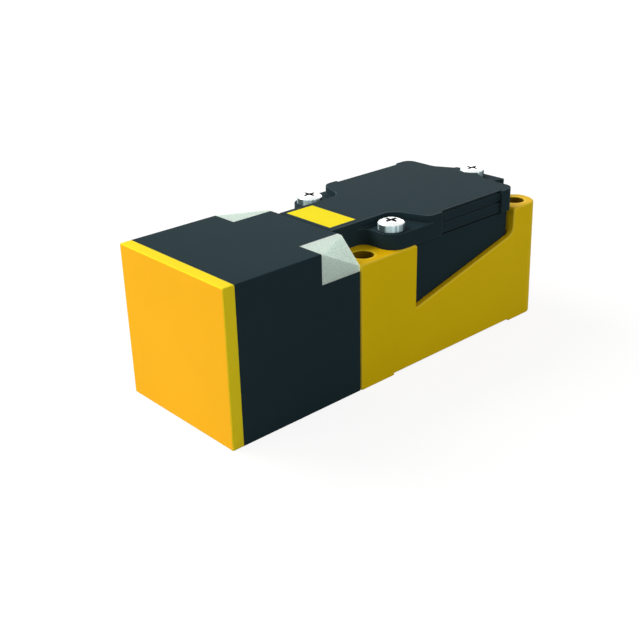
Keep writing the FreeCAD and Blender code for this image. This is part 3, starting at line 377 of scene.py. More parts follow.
def add_node(tree, kind, inputs=None, **settings):
    """Add a shader node; an input takes a value or another node's output socket."""
    node = tree.nodes.new(f"ShaderNode{kind}")
    for name, setting in settings.items():
        setattr(node, name, setting)
    for name, source in (inputs or {}).items():
        if isinstance(source, bpy.types.NodeSocket):
            tree.links.new(source, node.inputs[name])
        else:
            node.inputs[name].default_value = source
    return node


def opaque(colour):
    """Return a colour with full alpha."""
    return (*colour, 1.0)


def shade(colour, factor):
    """Return a colour made lighter or darker, with full alpha."""
    return opaque([min(1.0, channel * factor) for channel in colour])


def mix_colours(tree, factor, first, second, blend="MIX"):
    """Blend two colours by a mask and return the colour socket."""
    inputs = {COLOUR_SOCKETS["Factor"]: factor, COLOUR_SOCKETS["A"]: first, COLOUR_SOCKETS["B"]: second}
    return add_node(tree, "Mix", inputs, data_type="RGBA", blend_type=blend).outputs[COLOUR_RESULT]


def vary(tree, mask, colour, dark, light):
    """Take a colour from a darker to a lighter share of itself by a mask and return the colour socket."""
    return mix_colours(tree, mask, shade(colour, dark), shade(colour, light))


def spread(tree, source, low, high):
    """Map a 0 to 1 value onto another range and return its socket."""
    return add_node(tree, "MapRange", {"Value": source, "To Min": low, "To Max": high}).outputs["Result"]


def calculate(tree, operation, first, second=0.0, third=0.0, clamp=False):
    """Work out one step of arithmetic and return its socket."""
    node = add_node(tree, "Math", {0: first, 1: second, 2: third}, operation=operation, use_clamp=clamp)
    return node.outputs[0]


def split_axes(tree, coordinate):
    """Return the X, Y and Z sockets of a texture coordinate."""
    source = add_node(tree, "TexCoord").outputs[coordinate]
    return add_node(tree, "SeparateXYZ", {0: source}).outputs


def built_once(build):
    """Make a function build the node group of its own name the first time only, and return it each time."""
    def fetch():
        return bpy.data.node_groups.get(build.__name__) or build()
    return fetch


def new_group(name, inputs, outputs):
    """Start a shader node group with named float inputs and typed outputs."""
    tree = bpy.data.node_groups.new(name, "ShaderNodeTree")
    for label, start in inputs.items():
        tree.interface.new_socket(label, in_out="INPUT", socket_type="NodeSocketFloat").default_value = start
    for label, kind in outputs.items():
        tree.interface.new_socket(label, in_out="OUTPUT", socket_type=f"NodeSocket{kind}")
    return tree, tree.nodes.new("NodeGroupInput").outputs, tree.nodes.new("NodeGroupOutput").inputs


@built_once
def moulded_grain():
    """Group: fine grain of a moulded surface and slow clouds in its tone."""
    sizes = {"Grain Scale": 5000.0, "Cloud Scale": 60.0}
    tree, given, result = new_group("moulded_grain", sizes, {"Height": "Float", "Cloud": "Float"})
    place = add_node(tree, "TexCoord").outputs["Object"]
    grain = add_node(tree, "TexNoise", {"Vector": place, "Scale": given["Grain Scale"], "Detail": 3.0})
    cloud = add_node(tree, "TexNoise", {"Vector": place, "Scale": given["Cloud Scale"], "Detail": 2.0})
    tree.links.new(grain.outputs["Fac"], result["Height"])
    tree.links.new(cloud.outputs["Fac"], result["Cloud"])
    return tree


@built_once
def rounded_edges():
    """Group: normal that rounds every edge by a radius, and a mask that marks those edges for painted highlights.
    """
    edge_gain = 3.4
    outputs = {"Normal": "Vector", "Edge": "Float"}
    tree, given, result = new_group("rounded_edges", {"Radius": 0.0002}, outputs)
    bevel = add_node(tree, "Bevel", {"Radius": given["Radius"]}, samples=6).outputs["Normal"]
    flat = add_node(tree, "NewGeometry").outputs["Normal"]
    agree = add_node(tree, "VectorMath", {0: bevel, 1: flat}, operation="DOT_PRODUCT").outputs["Value"]
    turned = calculate(tree, "SUBTRACT", 1.0, agree)
    edge = calculate(tree, "MULTIPLY", turned, edge_gain, clamp=True)
    tree.links.new(bevel, result["Normal"])
    tree.links.new(edge, result["Edge"])
    return tree


@built_once
def raised_edges():
    """Group: mask of painted highlights on the rounded edges between a piece's sides and the faces that look up or
    forward.
    """
    tree, given, result = new_group("raised_edges", {"Gain": 1.6, "Forward": 1.0}, {"Edge": "Float"})
    facing = split_axes(tree, "Normal")
    aside = calculate(tree, "ABSOLUTE", facing["Y"])
    upward = calculate(tree, "MAXIMUM", facing["Z"], 0.0)
    forward = calculate(tree, "MAXIMUM", calculate(tree, "MULTIPLY", facing["X"], -1.0), 0.0)
    either = calculate(tree, "MULTIPLY_ADD", forward, given["Forward"], upward)
    turned = calculate(tree, "MULTIPLY", aside, either)
    edge = calculate(tree, "MULTIPLY", turned, given["Gain"], clamp=True)
    tree.links.new(edge, result["Edge"])
    return tree


@built_once
def drawn_streaks():
    """Group: fine streaks that a tool leaves on metal, drawn out along the axes with a small share."""
    sizes = {"Across": 9000.0, "Along X": 1.0, "Along Y": 1.0, "Along Z": 1.0}
    tree, given, result = new_group("drawn_streaks", sizes, {"Streak": "Float"})
    place = add_node(tree, "TexCoord").outputs["Object"]
    axes = {axis: given[f"Along {axis}"] for axis in "XYZ"}
    stretch = add_node(tree, "CombineXYZ", axes).outputs["Vector"]
    drawn = add_node(tree, "VectorMath", {0: place, 1: stretch}, operation="MULTIPLY").outputs["Vector"]
    streak = add_node(tree, "TexNoise", {"Vector": drawn, "Scale": given["Across"], "Detail": 4.0})
    tree.links.new(streak.outputs["Fac"], result["Streak"])
    return tree


def use_group(tree, group, **inputs):
    """Place a node group in a material and return its outputs; underscores in a name stand for spaces."""
    node = add_node(tree, "Group")
    node.node_tree = group
    for name, start in inputs.items():
        node.inputs[name.replace("_", " ")].default_value = start
    return node.outputs


def new_finish(name, **sockets):
    """Start a material and set plain values on its own shader; underscores stand for spaces."""
    material = bpy.data.materials.new(name)
    material.use_nodes = True
    tree = material.node_tree
    shader = tree.nodes["Principled BSDF"]
    for label, setting in sockets.items():
        shader.inputs[label.replace("_", " ")].default_value = setting
    return material, tree, shader


def feed(tree, shader, **sources):
    """Join sockets to a shader's inputs; underscores in a name stand for spaces."""
    for label, source in sources.items():
        tree.links.new(source, shader.inputs[label.replace("_", " ")])


def raise_bumps(tree, height, strength, distance, normal=None):
    """Turn a height into a normal, over another normal where one is given."""
    inputs = {"Height": height, "Strength": strength, "Distance": distance}
    if normal is not None:
        inputs["Normal"] = normal
    return add_node(tree, "Bump", inputs).outputs["Normal"]


def moulded_plastic(
    name, colour, rough, grain, bump, edge, rubbed=None, gain=0.0, forward=1.0, specular=0.03
):
    """Moulded plastic: clouded tone, grained skin, and rounded edges with a painted highlight.

    A gain also paints highlights on the edges between the sides and the faces that look up or, by a share,
    forward.
    """
    cloud_scale, edge_share, play = 45.0, 0.6, 0.06
    material, tree, shader = new_finish(name, Specular_IOR_Level=specular)
    skin = use_group(tree, moulded_grain(), Grain_Scale=grain, Cloud_Scale=cloud_scale)
    rim = use_group(tree, rounded_edges(), Radius=edge)
    body = vary(tree, skin["Cloud"], colour, 0.95, 1.05)
    lit = calculate(tree, "MULTIPLY", rim["Edge"], edge_share)
    if gain:
        highlighted = use_group(tree, raised_edges(), Gain=gain, Forward=forward)["Edge"]
        lit = calculate(tree, "MAXIMUM", lit, highlighted)
    feed(
        tree,
        shader,
        # Painted highlight: the edges take a lighter colour
        Base_Color=mix_colours(tree, lit, body, opaque(rubbed) if rubbed else shade(colour, 1.3)),
        Roughness=spread(tree, skin["Height"], rough - play, rough + play),
        Normal=raise_bumps(tree, skin["Height"], bump, GRAIN_DEPTH, rim["Normal"]),
    )
    return material


def tone_faces(material, direction, tone, least_cosine=0.9):
    """Paint light: multiply the colour of the faces that look in one direction by a tone of painted light."""
    tree = material.node_tree
    socket = tree.nodes["Principled BSDF"].inputs["Base Color"]
    normal = add_node(tree, "TexCoord").outputs["Normal"]
    cosine = add_node(tree, "VectorMath", {0: normal, 1: direction}, operation="DOT_PRODUCT").outputs["Value"]
    facing = calculate(tree, "GREATER_THAN", cosine, least_cosine)
    tree.links.new(mix_colours(tree, facing, socket.links[0].from_socket, opaque(tone), "MULTIPLY"), socket)


def finish_holes(material, mount, colour, rubbed):
    """Paint shade on the walls of a rectangle of upright holes and a highlight ring round each.

    Both go by the distance from the nearest hole's axis.
    """
    wall_margin, ring_gap, ring_half = 0.0001, 0.00055, 0.0002
    tree = material.node_tree
    socket = tree.nodes["Principled BSDF"].inputs["Base Color"]
    sizes = mount["dims"]
    place = split_axes(tree, "Object")
    off_axis = {}
    for axis, middle in zip("XY", mount["pos_m"]):
        away = calculate(tree, "ABSOLUTE", calculate(tree, "SUBTRACT", place[axis], middle))
        spacing = sizes[f"spacing_{axis.lower()}_mm"] / MM_PER_M
        off_axis[axis] = calculate(tree, "SUBTRACT", away, spacing / 2)
    offset = add_node(tree, "CombineXYZ", off_axis).outputs["Vector"]
    distance = add_node(tree, "VectorMath", {0: offset}, operation="LENGTH").outputs["Value"]
    radius = sizes["hole_r_mm"] / MM_PER_M
    inside = calculate(tree, "LESS_THAN", distance, radius + wall_margin)
    ring = calculate(tree, "COMPARE", distance, radius + ring_gap, ring_half)
    # Painted highlight in a ring round each hole
    rim = mix_colours(tree, ring, socket.links[0].from_socket, opaque(rubbed))
    # Painted shade on the hole walls
    tree.links.new(mix_colours(tree, inside, rim, opaque(colour)), socket)


def pole_leads(tints):
    """Lead sleeves: four colours side by side, told apart by the leads' place across their fan."""
    fan_start, fan_end = 0.00755, 0.015
    narrow, wide = 0.0015, 0.007
    material, tree, shader = new_finish("lead_sleeve", Roughness=0.4, Specular_IOR_Level=0.3)
    place = split_axes(tree, "Object")
    fan = {"Value": place["X"], "From Min": fan_start, "From Max": fan_end, "To Min": narrow, "To Max": wide}
    pitch = add_node(tree, "MapRange", fan).outputs["Result"]
    number = calculate(tree, "DIVIDE", place["Y"], pitch)
    colours = (tints.lead_brown, tints.lead_white, tints.lead_blue, tints.lead_black)
    body = opaque(colours[0])
    for step, colour in enumerate(colours[1:], -1):
        body = mix_colours(tree, calculate(tree, "GREATER_THAN", number, step), body, opaque(colour))
    skin = use_group(tree, moulded_grain(), Grain_Scale=3000.0, Cloud_Scale=200.0)
    feed(tree, shader, Base_Color=body, Normal=raise_bumps(tree, skin["Height"], 0.05, GRAIN_DEPTH))
    return material


def frosted_lens(tints):
    """Light guide: frosted plastic with fine speckle, a painted glow that grows up and to the rear, and painted
    highlights on its edges.
    """
    guide_foot, guide_top = 0.032, 0.0395
    foot_glow, top_glow, rear_glow = 0.2, 0.26, 0.52
    speckle_gain, speckle_start = 3.4, -1.0
    material, tree, shader = new_finish(
        "frosted_lens",
        Emission_Strength=1.0,
        Subsurface_Weight=1.0,
        Subsurface_Radius=(0.005, 0.006, 0.0055),
        Subsurface_Scale=1.0,
        Specular_IOR_Level=0.1,
    )
    skin = use_group(tree, moulded_grain(), Grain_Scale=2600.0, Cloud_Scale=900.0)
    rim = use_group(tree, rounded_edges(), Radius=0.00018)
    speckle = calculate(tree, "MULTIPLY_ADD", skin["Height"], speckle_gain, speckle_start, clamp=True)
    body = mix_colours(tree, speckle, opaque(tints.lens_shade), opaque(tints.lens))
    rise = {
        "Value": split_axes(tree, "Object")["Z"],
        "From Min": guide_foot,
        "From Max": guide_top,
        "To Min": foot_glow,
        "To Max": top_glow,
    }
    upward = add_node(tree, "MapRange", rise).outputs["Result"]
    rearward = calculate(tree, "MAXIMUM", split_axes(tree, "Normal")["X"], 0.0)
    # Painted glow, stronger higher up and on faces that look to the rear
    glow = calculate(tree, "MULTIPLY_ADD", rearward, rear_glow, upward)
    painted_glow_level = calculate(tree, "MULTIPLY", glow, spread(tree, speckle, 0.85, 1.07))
    feed(
        tree,
        shader,
        # Painted highlight: the edges take a lighter colour
        Base_Color=mix_colours(tree, rim["Edge"], body, shade(tints.lens, 1.3)),
        Roughness=spread(tree, skin["Height"], 0.3, 0.5),
        Normal=raise_bumps(tree, skin["Cloud"], 0.15, GRAIN_DEPTH, rim["Normal"]),
        # The painted glow goes in as emission colour
        Emission_Color=mix_colours(tree, painted_glow_level, (0, 0, 0, 1), opaque(tints.glow)),
    )
    return material


def clear_lamp(tints):
    """Lamp body: glossy pale plastic, partly clear, with clouds in its tone."""
    material, tree, shader = new_finish("clear_lamp", Transmission_Weight=0.3, IOR=1.5, Roughness=0.15)
    skin = use_group(tree, moulded_grain(), Grain_Scale=3000.0, Cloud_Scale=1200.0)
    feed(tree, shader, Base_Color=vary(tree, skin["Cloud"], tints.lamp, 0.7, 1.2))
    return material


def drawn_metal(name, colour, rough, across, along, metallic=1.0, edge=0.00008):
    """Metal with tool streaks and painted highlights on its edges; the streaks run along the axes with a small
    share.
    """
    material, tree, shader = new_finish(name, Metallic=metallic)
    axes = {f"Along_{axis}": share for axis, share in zip("XYZ", along)}
    streak = use_group(tree, drawn_streaks(), Across=across, **axes)["Streak"]
    rim = use_group(tree, rounded_edges(), Radius=edge)
    body = vary(tree, streak, colour, 0.86, 1.08)
    feed(
        tree,
        shader,
        # Painted highlight: the edges take a lighter colour
        Base_Color=mix_colours(tree, rim["Edge"], body, shade(colour, 1.15)),
        Roughness=spread(tree, streak, rough - 0.05, rough + 0.08),
        Normal=raise_bumps(tree, streak, 0.12, STREAK_DEPTH, rim["Normal"]),
    )
    return material


def plated_screw_steel(tints):
    """Bright plated steel with painted reflection bands down the head's side and painted shade in the recess, by
    the screw's masks.
    """
    shaded_recess_metal, side_metal = 0.15, 0.32
    material, tree, shader = new_finish("plated_screw_steel", Specular_IOR_Level=0.05)
    streak = use_group(tree, drawn_streaks(), Across=2600.0, Along_X=1.0, Along_Y=1.0, Along_Z=0.04)["Streak"]
    rim = use_group(tree, rounded_edges(), Radius=0.00012)
    recess, side, tone = (
        add_node(tree, "Attribute", attribute_name=mask).outputs["Fac"] for mask in ("recess", "side", "tone")
    )
    # Painted reflection and painted shade in bands down the head's side
    painted_bands = mix_colours(tree, tone, opaque(tints.shaded), opaque(tints.satin))
    body = mix_colours(tree, side, vary(tree, streak, tints.plated, 1.0, 1.14), painted_bands)
    # Painted highlight: the head's edges take a lighter colour
    bright = mix_colours(tree, rim["Edge"], body, shade(tints.plated, 1.15))
    in_recess = spread(tree, recess, 1.0, shaded_recess_metal)
    down_side = spread(tree, side, 1.0, side_metal)
    feed(
        tree,
        shader,
        # Painted shade in the recess, with less metal so that it stays dark
        Base_Color=mix_colours(tree, recess, bright, opaque(tints.soot)),
        Metallic=calculate(tree, "MINIMUM", in_recess, down_side),
        Roughness=spread(tree, calculate(tree, "MAXIMUM", recess, side), 0.22, 0.5),
        Normal=raise_bumps(tree, streak, 0.1, STREAK_DEPTH, rim["Normal"]),
    )
    return material


def wound_copper(tints):
    """Enamelled wire: metal under a thin glossy coat, with clouds in its tone."""
    material, tree, shader = new_finish("wound_copper", Metallic=1.0, Coat_Weight=0.5, Coat_Roughness=0.12)
    skin = use_group(tree, moulded_grain(), Grain_Scale=1500.0, Cloud_Scale=300.0)
    feed(
        tree,
        shader,
        Base_Color=vary(tree, skin["Cloud"], tints.copper, 0.75, 1.15),
        Roughness=spread(tree, skin["Height"], 0.22, 0.36),
    )
    return material


def sintered_ferrite(tints):
    """Ferrite: dark clouded body with a pitted skin and painted highlights on its edges."""
    pit_depth = 0.00004
    material, tree, shader = new_finish("sintered_ferrite", Specular_IOR_Level=0.5)
    skin = use_group(tree, moulded_grain(), Grain_Scale=2600.0, Cloud_Scale=180.0)
    rim = use_group(tree, rounded_edges(), Radius=0.00015)
    body = vary(tree, skin["Cloud"], tints.ferrite, 0.7, 1.6)
    feed(
        tree,
        shader,
        # Painted highlight: the edges take a paler colour
        Base_Color=mix_colours(tree, rim["Edge"], body, shade(tints.ferrite, 2.6)),
        Roughness=spread(tree, skin["Height"], 0.45, 0.7),
        Normal=raise_bumps(tree, skin["Height"], 0.4, pit_depth, rim["Normal"]),
    )
    return material


def varnished_board(tints):
    """Laminate: green varnish over a glass weave, with tinned pads in dark rings."""
    pad_reach, ring_reach, pad_height = 0.24, 0.3, 0.00005
    material, tree, shader = new_finish("varnished_board", Specular_IOR_Level=0.5)
    place = add_node(tree, "TexCoord").outputs["Object"]
    weave = add_node(tree, "TexChecker", {"Vector": place, "Scale": 1800.0}).outputs["Fac"]
    spots = add_node(tree, "TexVoronoi", {"Vector": place, "Scale": 330.0, "Randomness": 0.25})
    pad = calculate(tree, "LESS_THAN", spots.outputs["Distance"], pad_reach)
    ring = calculate(tree, "LESS_THAN", spots.outputs["Distance"], ring_reach)
    skin = use_group(tree, moulded_grain(), Grain_Scale=900.0, Cloud_Scale=220.0)
    varnish = vary(tree, weave, tints.laminate, 0.85, 1.1)
    bare = mix_colours(tree, ring, varnish, shade(tints.laminate, 0.5))
    feed(
        tree,
        shader,
        Base_Color=mix_colours(tree, pad, bare, opaque(tints.pad)),
        Metallic=calculate(tree, "MULTIPLY", pad, 0.8),
        Roughness=spread(tree, skin["Height"], 0.2, 0.34),
        Normal=raise_bumps(tree, pad, 0.3, pad_height),
    )
    return material


def cast_resin(tints):
    """Cast resin: dark body with swirls, and pin holes with painted shade in them."""
    pin_reach, pin_depth = 0.12, 0.0001
    material, tree, shader = new_finish("cast_resin", Specular_IOR_Level=0.45)
    place = add_node(tree, "TexCoord").outputs["Object"]
    swirl = add_node(tree, "TexWave", {"Vector": place, "Scale": 90.0, "Distortion": 9.0, "Detail": 3.0})
    holes = add_node(tree, "TexVoronoi", {"Vector": place, "Scale": 420.0})
    pin = calculate(tree, "LESS_THAN", holes.outputs["Distance"], pin_reach)
    body = vary(tree, swirl.outputs["Fac"], tints.resin, 0.8, 1.25)
    feed(
        tree,
        shader,
        # Painted shade: the pin holes take a darker colour
        Base_Color=mix_colours(tree, pin, body, shade(tints.resin, 0.4)),
        Roughness=spread(tree, swirl.outputs["Fac"], 0.26, 0.4),
        Normal=raise_bumps(tree, calculate(tree, "SUBTRACT", 1.0, pin), 0.4, pin_depth),
    )
    return material


def dress(material, slot_name, *pieces):
    """Give CAD nodes one finish; each must take that finish from the slot that the record names."""
    slots = {part["node"]: part["material_slot"] for part in frame["record"]["subparts"]}
    for name in pieces:
        if slots[name] != slot_name:
            raise RuntimeError(f"{name} takes its finish from {slots[name]}")
        piece = frame["nodes"][name]
        if not piece.material_slots:
            raise RuntimeError(f"{name} has no material slot")
        for holder in piece.material_slots:
            holder.material = material


def stand_for(piece, material, body, node=None):
    """Give a new piece its finish and its body, and let it replace a CAD node where one is named."""
    piece.data.materials.append(material)
    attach(piece, body)
    if node:
        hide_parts(node)


class SENSOR_OT_cover_screws(bpy.types.Operator):
    """Model the three cross-recess screws of the cover"""

    bl_idname = "sensor.cover_screws"
    bl_label = "Cover Screws"

    def execute(self, context):
        sizes = context.scene.sensor_screws
        metals = context.scene.sensor_metals
        steel = plated_screw_steel(metals)
        for joint in SCREW_JOINTS:
            spot = np.array(joint["pos_m"])
            surface, masks = screw_surface(sizes, SCREW_LOW.z - spot[2])
            piece = grid_mesh(f"{joint['child']}_cross_recess", surface + spot)
            for name, mask in masks.items():
                mark_points(piece, name, mask)
            stand_for(piece, steel, joint["child"], f"cover_{joint['child']}")
        return {"FINISHED"}


class SENSOR_OT_entry_thread(bpy.types.Operator):
    """Cut the thread in the cable entry"""

    bl_idname = "sensor.entry_thread"
    bl_label = "Cable Entry Thread"

    def execute(self, context):
        sizes = context.scene.sensor_entry
        spot = np.array(ENTRY["pos_m"])
        surface = thread_surface(sizes, -sizes.run / 2)
        piece = grid_mesh("cable_entry_thread", surface + spot)
        stand_for(piece, bpy.data.materials["base_plastic"], "base")
        return {"FINISHED"}


class SENSOR_OT_coil(bpy.types.Operator):
    """Wind the coil and finish its core"""

    bl_idname = "sensor.coil"
    bl_label = "Coil and Core"

    def execute(self, context):
        metals = context.scene.sensor_metals
        low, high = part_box("coil_winding")
        axis = np.array([0, (low.y + high.y) / 2, (low.z + high.z) / 2])
        surface = winding_surface(context.scene.sensor_coil, low.x, high.x, (high.y - low.y) / 2)
        piece = grid_mesh("coil_winding_turns", surface + axis, closed_rows=True)
        stand_for(piece, wound_copper(metals), "head", "coil_winding")
        dress(sintered_ferrite(metals), "ferrite", "ferrite_core")
        return {"FINISHED"}


class SENSOR_OT_yellow_parts(bpy.types.Operator):
    """Finish the sensing face, the mounting base and the marker plate"""

    bl_idname = "sensor.yellow_parts"
    bl_label = "Yellow Parts"

    def execute(self, context):
        tints = context.scene.sensor_plastics
        face = moulded_plastic(
            "face_plastic", tints.face, rough=0.5, grain=7000.0, bump=0.05, edge=0.0002, specular=0.015
        )
        # Painted warm light on the plate's forward face
        tone_faces(face, (-1, 0, 0), tints.front_tone)
        dress(face, "face_yellow", "sensing_face")
        # The tray's edges take a painted highlight
        edges = {"edge": 0.0003, "rubbed": tints.base_edge, "gain": 2.2}
        base = moulded_plastic("base_plastic", tints.base, rough=0.5, grain=5200.0, bump=0.1, **edges)
        # Painted warm light on the tray's upward faces
        tone_faces(base, (0, 0, 1), tints.base_tone)
        # Painted shade in the tray's holes and a painted highlight ring round each
        finish_holes(base, HOLES, tints.base_bore, tints.base_edge)
        dress(base, "base_yellow", "mounting_base")
        marker = moulded_plastic(
            "marker_plastic", tints.marker, rough=0.45, grain=8000.0, bump=0.03, edge=0.0001, specular=0.01
        )
        dress(marker, "marker_yellow", "marker_plate")
        return {"FINISHED"}


class SENSOR_OT_black_parts(bpy.types.Operator):
    """Finish the head housing, the terminal tub, the cover and the seals"""

    bl_idname = "sensor.black_parts"
    bl_label = "Black Parts"

    def execute(self, context):
        tints = context.scene.sensor_plastics
        skin = {"rough": 0.5, "grain": 4600.0, "bump": 0.12, "specular": 0.006}
        black = moulded_plastic("black_plastic", tints.black, edge=0.00025, **skin)
        dress(black, "black_plastic", "head_housing", "terminal_chamber")
        # The cover's upper edges take a painted highlight
        edges = {"edge": 0.0003, "rubbed": tints.cover_edge, "gain": 1.6, "forward": 0.0}
        cover = moulded_plastic("cover_plastic", tints.black, **skin, **edges)
        dress(cover, "black_plastic", "cover")
        rubber = moulded_plastic("seal_rubber", tints.rubber, rough=0.7, grain=3000.0, bump=0.2, edge=0.0002)
        dress(rubber, "seal_rubber", "head_seal", "lead_grommet", "cover_gasket")
        return {"FINISHED"}


class SENSOR_OT_lenses(bpy.types.Operator):
    """Finish the corner light guides and the lamps behind them"""

    bl_idname = "sensor.lenses"
    bl_label = "Light Guides"

    def execute(self, context):
        tints = context.scene.sensor_clears
        dress(frosted_lens(tints), "lens_clear", "corner_lens_left", "corner_lens_right")
        dress(clear_lamp(tints), "led_clear", "status_leds")
        return {"FINISHED"}


class SENSOR_OT_boards(bpy.types.Operator):
    """Finish the boards, their chips and the potting resin"""

    bl_idname = "sensor.boards"
    bl_label = "Boards and Resin"

    def execute(self, context):
        tints = context.scene.sensor_plastics
        dress(varnished_board(context.scene.sensor_metals), "circuit_board", "oscillator_board", "led_board")
        package = moulded_plastic(
            "chip_package", tints.package, rough=0.55, grain=9000.0, bump=0.1, edge=0.0001
        )
        dress(package, "chip_plastic", "board_chips")
        dress(cast_resin(tints), "resin", "potting_block")
        return {"FINISHED"}


class SENSOR_OT_terminals(bpy.types.Operator):
    """Finish the terminal block, the coil's spool, the leads, the brass parts and the steel parts inside"""

    bl_idname = "sensor.terminals"
    bl_label = "Terminals and Leads"

    def execute(self, context):
        tints = context.scene.sensor_plastics
        metals = context.scene.sensor_metals
        natural = moulded_plastic(
            "terminal_plastic", tints.natural, rough=0.45, grain=4000.0, bump=0.08, edge=0.0002, specular=0.4
        )
        dress(natural, "natural_plastic", "terminal_block", "coil_bobbin")
        brass = drawn_metal("bright_brass", metals.brass, rough=0.3, across=6000.0, along=(0.1, 1.0, 1.0))
        dress(brass, "brass", "clamp_cages", "threaded_inserts")
        steel = drawn_metal(
            "clamp_screw_steel", metals.plated, rough=0.3, across=5000.0, along=(0.15, 0.15, 1.0)
        )
        dress(steel, "screw_steel", "clamp_screws")
        spring = drawn_metal(
            "oiled_spring_steel", metals.spring, rough=0.34, across=7000.0, along=(1.0, 0.1, 0.1)
        )
        dress(spring, "spring_steel", "lock_ring")
        dress(pole_leads(tints), "lead_sleeve", "lead_wires")
        return {"FINISHED"}


def white_to_camera(tree):
    """Return a mask of the rays that see the white backdrop: from the camera, in metal and through glass."""
    rays = add_node(tree, "LightPath").outputs
    direct = calculate(tree, "MAXIMUM", rays["Is Camera Ray"], rays["Is Glossy Ray"])
    return calculate(tree, "MAXIMUM", direct, rays["Is Transmission Ray"])


def add_floor(look):
    """Lay a flat square grid whose look is mostly white, with the sensor's soft shadow near it."""
    reach, lines = 3, 13
    whiteness, bounce_share = 1.08, 0.45
    fade_start, fade_end = 0.12, 0.5
    line = np.linspace(-reach, reach, lines)
    x, y = np.meshgrid(line, line, indexing="ij")
    points = np.stack((x, y, np.full_like(x, CAD_BOX[0].z)), axis=-1)
    index = np.arange(x.size).reshape(x.shape)
    faces = np.stack((index[:-1, :-1], index[1:, :-1], index[1:, 1:], index[:-1, 1:]), axis=-1)
    mesh = bpy.data.meshes.new("studio_floor")
    mesh.from_pydata(points.reshape(-1, 3).tolist(), [], faces.reshape(-1, 4).tolist())
    floor = bpy.data.objects.new("studio_floor", mesh)
    bpy.context.scene.collection.objects.link(floor)
    material = bpy.data.materials.new("studio_floor")
    material.use_nodes = True
    tree = material.node_tree
    tree.nodes.clear()
    paper = add_node(tree, "BsdfDiffuse", {"Color": opaque(look.floor)}).outputs[0]
    white = add_node(tree, "Emission", {"Color": (1, 1, 1, 1), "Strength": whiteness}).outputs[0]
    place = add_node(tree, "TexCoord").outputs["Object"]
    away = add_node(tree, "VectorMath", {0: place}, operation="LENGTH").outputs["Value"]
    fade = {
        "Value": away,
        "From Min": fade_start,
        "From Max": fade_end,
        "To Min": look.shadow,
        "To Max": 0.0,
    }
    share = add_node(tree, "MapRange", fade).outputs["Result"]
    seen = add_node(tree, "MixShader", {0: share, 1: white, 2: paper}).outputs[0]
    bounce = add_node(tree, "BsdfDiffuse", {"Color": shade(look.floor, bounce_share)}).outputs[0]
    shown = add_node(tree, "MixShader", {0: white_to_camera(tree), 1: bounce, 2: seen}).outputs[0]
    add_node(tree, "OutputMaterial", {"Surface": shown})
    mesh.materials.append(material)


def light_world(look):
    """Give an even dim light all round, with a plain white backdrop for the rays that see it."""
    world = bpy.data.worlds.new("studio_world")
    world.use_nodes = True
    tree = world.node_tree
    tree.nodes.clear()
    even = add_node(tree, "Background", {"Color": (1, 1, 1, 1), "Strength": look.ambient}).outputs[0]
    white = add_node(tree, "Background", {"Color": (1, 1, 1, 1), "Strength": 1.0}).outputs[0]
    shown = add_node(tree, "MixShader", {0: white_to_camera(tree), 1: even, 2: white}).outputs[0]
    add_node(tree, "OutputWorld", {"Surface": shown})
    bpy.context.scene.world = world


def add_lamp(name, spot, watts, size, colour=(1, 1, 1)):
    """Hang a square area lamp that looks at the sensor's middle."""
    lamp = bpy.data.lights.new(name, "AREA")
    lamp.energy, lamp.size, lamp.color = watts, size, colour
    holder = bpy.data.objects.new(name, lamp)
    bpy.context.scene.collection.objects.link(holder)
    middle = (CAD_BOX[0] + CAD_BOX[1]) / 2
    holder.location = spot
    holder.rotation_euler = (middle - holder.location).to_track_quat("-Z", "Y").to_euler()


def add_camera():
    """Stand the camera where a fit to the corners in the photograph puts it."""
    right = (0.73550946, -0.67719943, -0.02065831)
    up = (0.29611406, 0.29388696, 0.90881622)
    back = (-0.60937862, -0.67456014, 0.41668491)
    spot = (-0.170391, -0.175493, 0.120355)
    camera = bpy.data.cameras.new("studio_camera")
    camera.sensor_width = 36.0
    camera.lens = 55.851
    camera.clip_start = 0.01
    holder = bpy.data.objects.new("studio_camera", camera)
    bpy.context.scene.collection.objects.link(holder)
    holder.matrix_world = Matrix((
        (right[0], up[0], back[0], spot[0]),
        (right[1], up[1], back[1], spot[1]),
        (right[2], up[2], back[2], spot[2]),
        (0, 0, 0, 1),
    ))
    bpy.context.scene.camera = holder


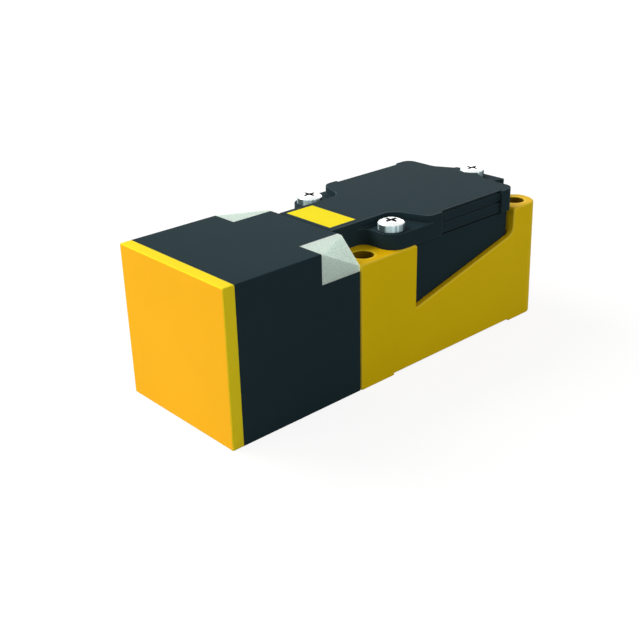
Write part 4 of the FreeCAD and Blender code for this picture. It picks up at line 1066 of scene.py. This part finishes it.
class SENSOR_OT_stage(bpy.types.Operator):
    """Set the floor, the lamps, the backdrop and the camera"""

    bl_idname = "sensor.stage"
    bl_label = "Studio Stage"

    def execute(self, context):
        look = context.scene.sensor_stage
        add_floor(look)
        light_world(look)
        add_lamp("front_lamp", spot=(-1.0, 0.25, 0.3), watts=look.front, size=0.7, colour=look.front_tint)
        add_lamp("top_lamp", spot=(-0.3, 0.75, 0.7), watts=look.top, size=0.7, colour=look.top_tint)
        add_lamp("side_lamp", spot=(0.2, -0.9, 0.45), watts=look.side, size=0.6, colour=look.side_tint)
        add_lamp("rear_lamp", spot=(0.8, 0.7, 0.4), watts=look.rear, size=0.8)
        add_camera()
        context.scene.view_settings.view_transform = "Standard"
        return {"FINISHED"}


class SENSOR_PT_build(bpy.types.Panel):
    """Sizes, colours and steps of the sensor"""

    bl_label = "Proximity Sensor"
    bl_idname = "SENSOR_PT_build"
    bl_space_type = "VIEW_3D"
    bl_region_type = "UI"
    bl_category = "Sensor"

    def draw(self, context):
        for name, kind in GROUPS.items():
            box = self.layout.box()
            box.label(text=kind.__doc__)
            group = getattr(context.scene, name)
            for setting in kind.__annotations__:
                box.prop(group, setting)
        for step in STEPS:
            self.layout.operator(step.bl_idname)


GROUPS = {
    "sensor_screws": CoverScrewSizes,
    "sensor_entry": EntryThreadSizes,
    "sensor_coil": CoilSizes,
    "sensor_plastics": PlasticTints,
    "sensor_clears": ClearTints,
    "sensor_metals": MetalTints,
    "sensor_stage": StageLook,
}
STEPS = (
    SENSOR_OT_yellow_parts,
    SENSOR_OT_black_parts,
    SENSOR_OT_lenses,
    SENSOR_OT_cover_screws,
    SENSOR_OT_entry_thread,
    SENSOR_OT_coil,
    SENSOR_OT_boards,
    SENSOR_OT_terminals,
    SENSOR_OT_stage,
)


def register():
    """Make the settings, the steps and the panel known to Blender."""
    for name, kind in GROUPS.items():
        bpy.utils.register_class(kind)
        setattr(bpy.types.Scene, name, PointerProperty(type=kind))
    for step in (*STEPS, SENSOR_PT_build):
        bpy.utils.register_class(step)


def unregister():
    """Take the panel, the steps and the settings away again."""
    for step in (SENSOR_PT_build, *reversed(STEPS)):
        bpy.utils.unregister_class(step)
    for name, kind in GROUPS.items():
        delattr(bpy.types.Scene, name)
        bpy.utils.unregister_class(kind)


def main():
    """Run every step in order."""
    register()
    bpy.ops.sensor.yellow_parts()
    bpy.ops.sensor.black_parts()
    bpy.ops.sensor.lenses()
    bpy.ops.sensor.cover_screws()
    bpy.ops.sensor.entry_thread()
    bpy.ops.sensor.coil()
    bpy.ops.sensor.boards()
    bpy.ops.sensor.terminals()
    bpy.ops.sensor.stage()


if __name__ == "__main__":
    main()
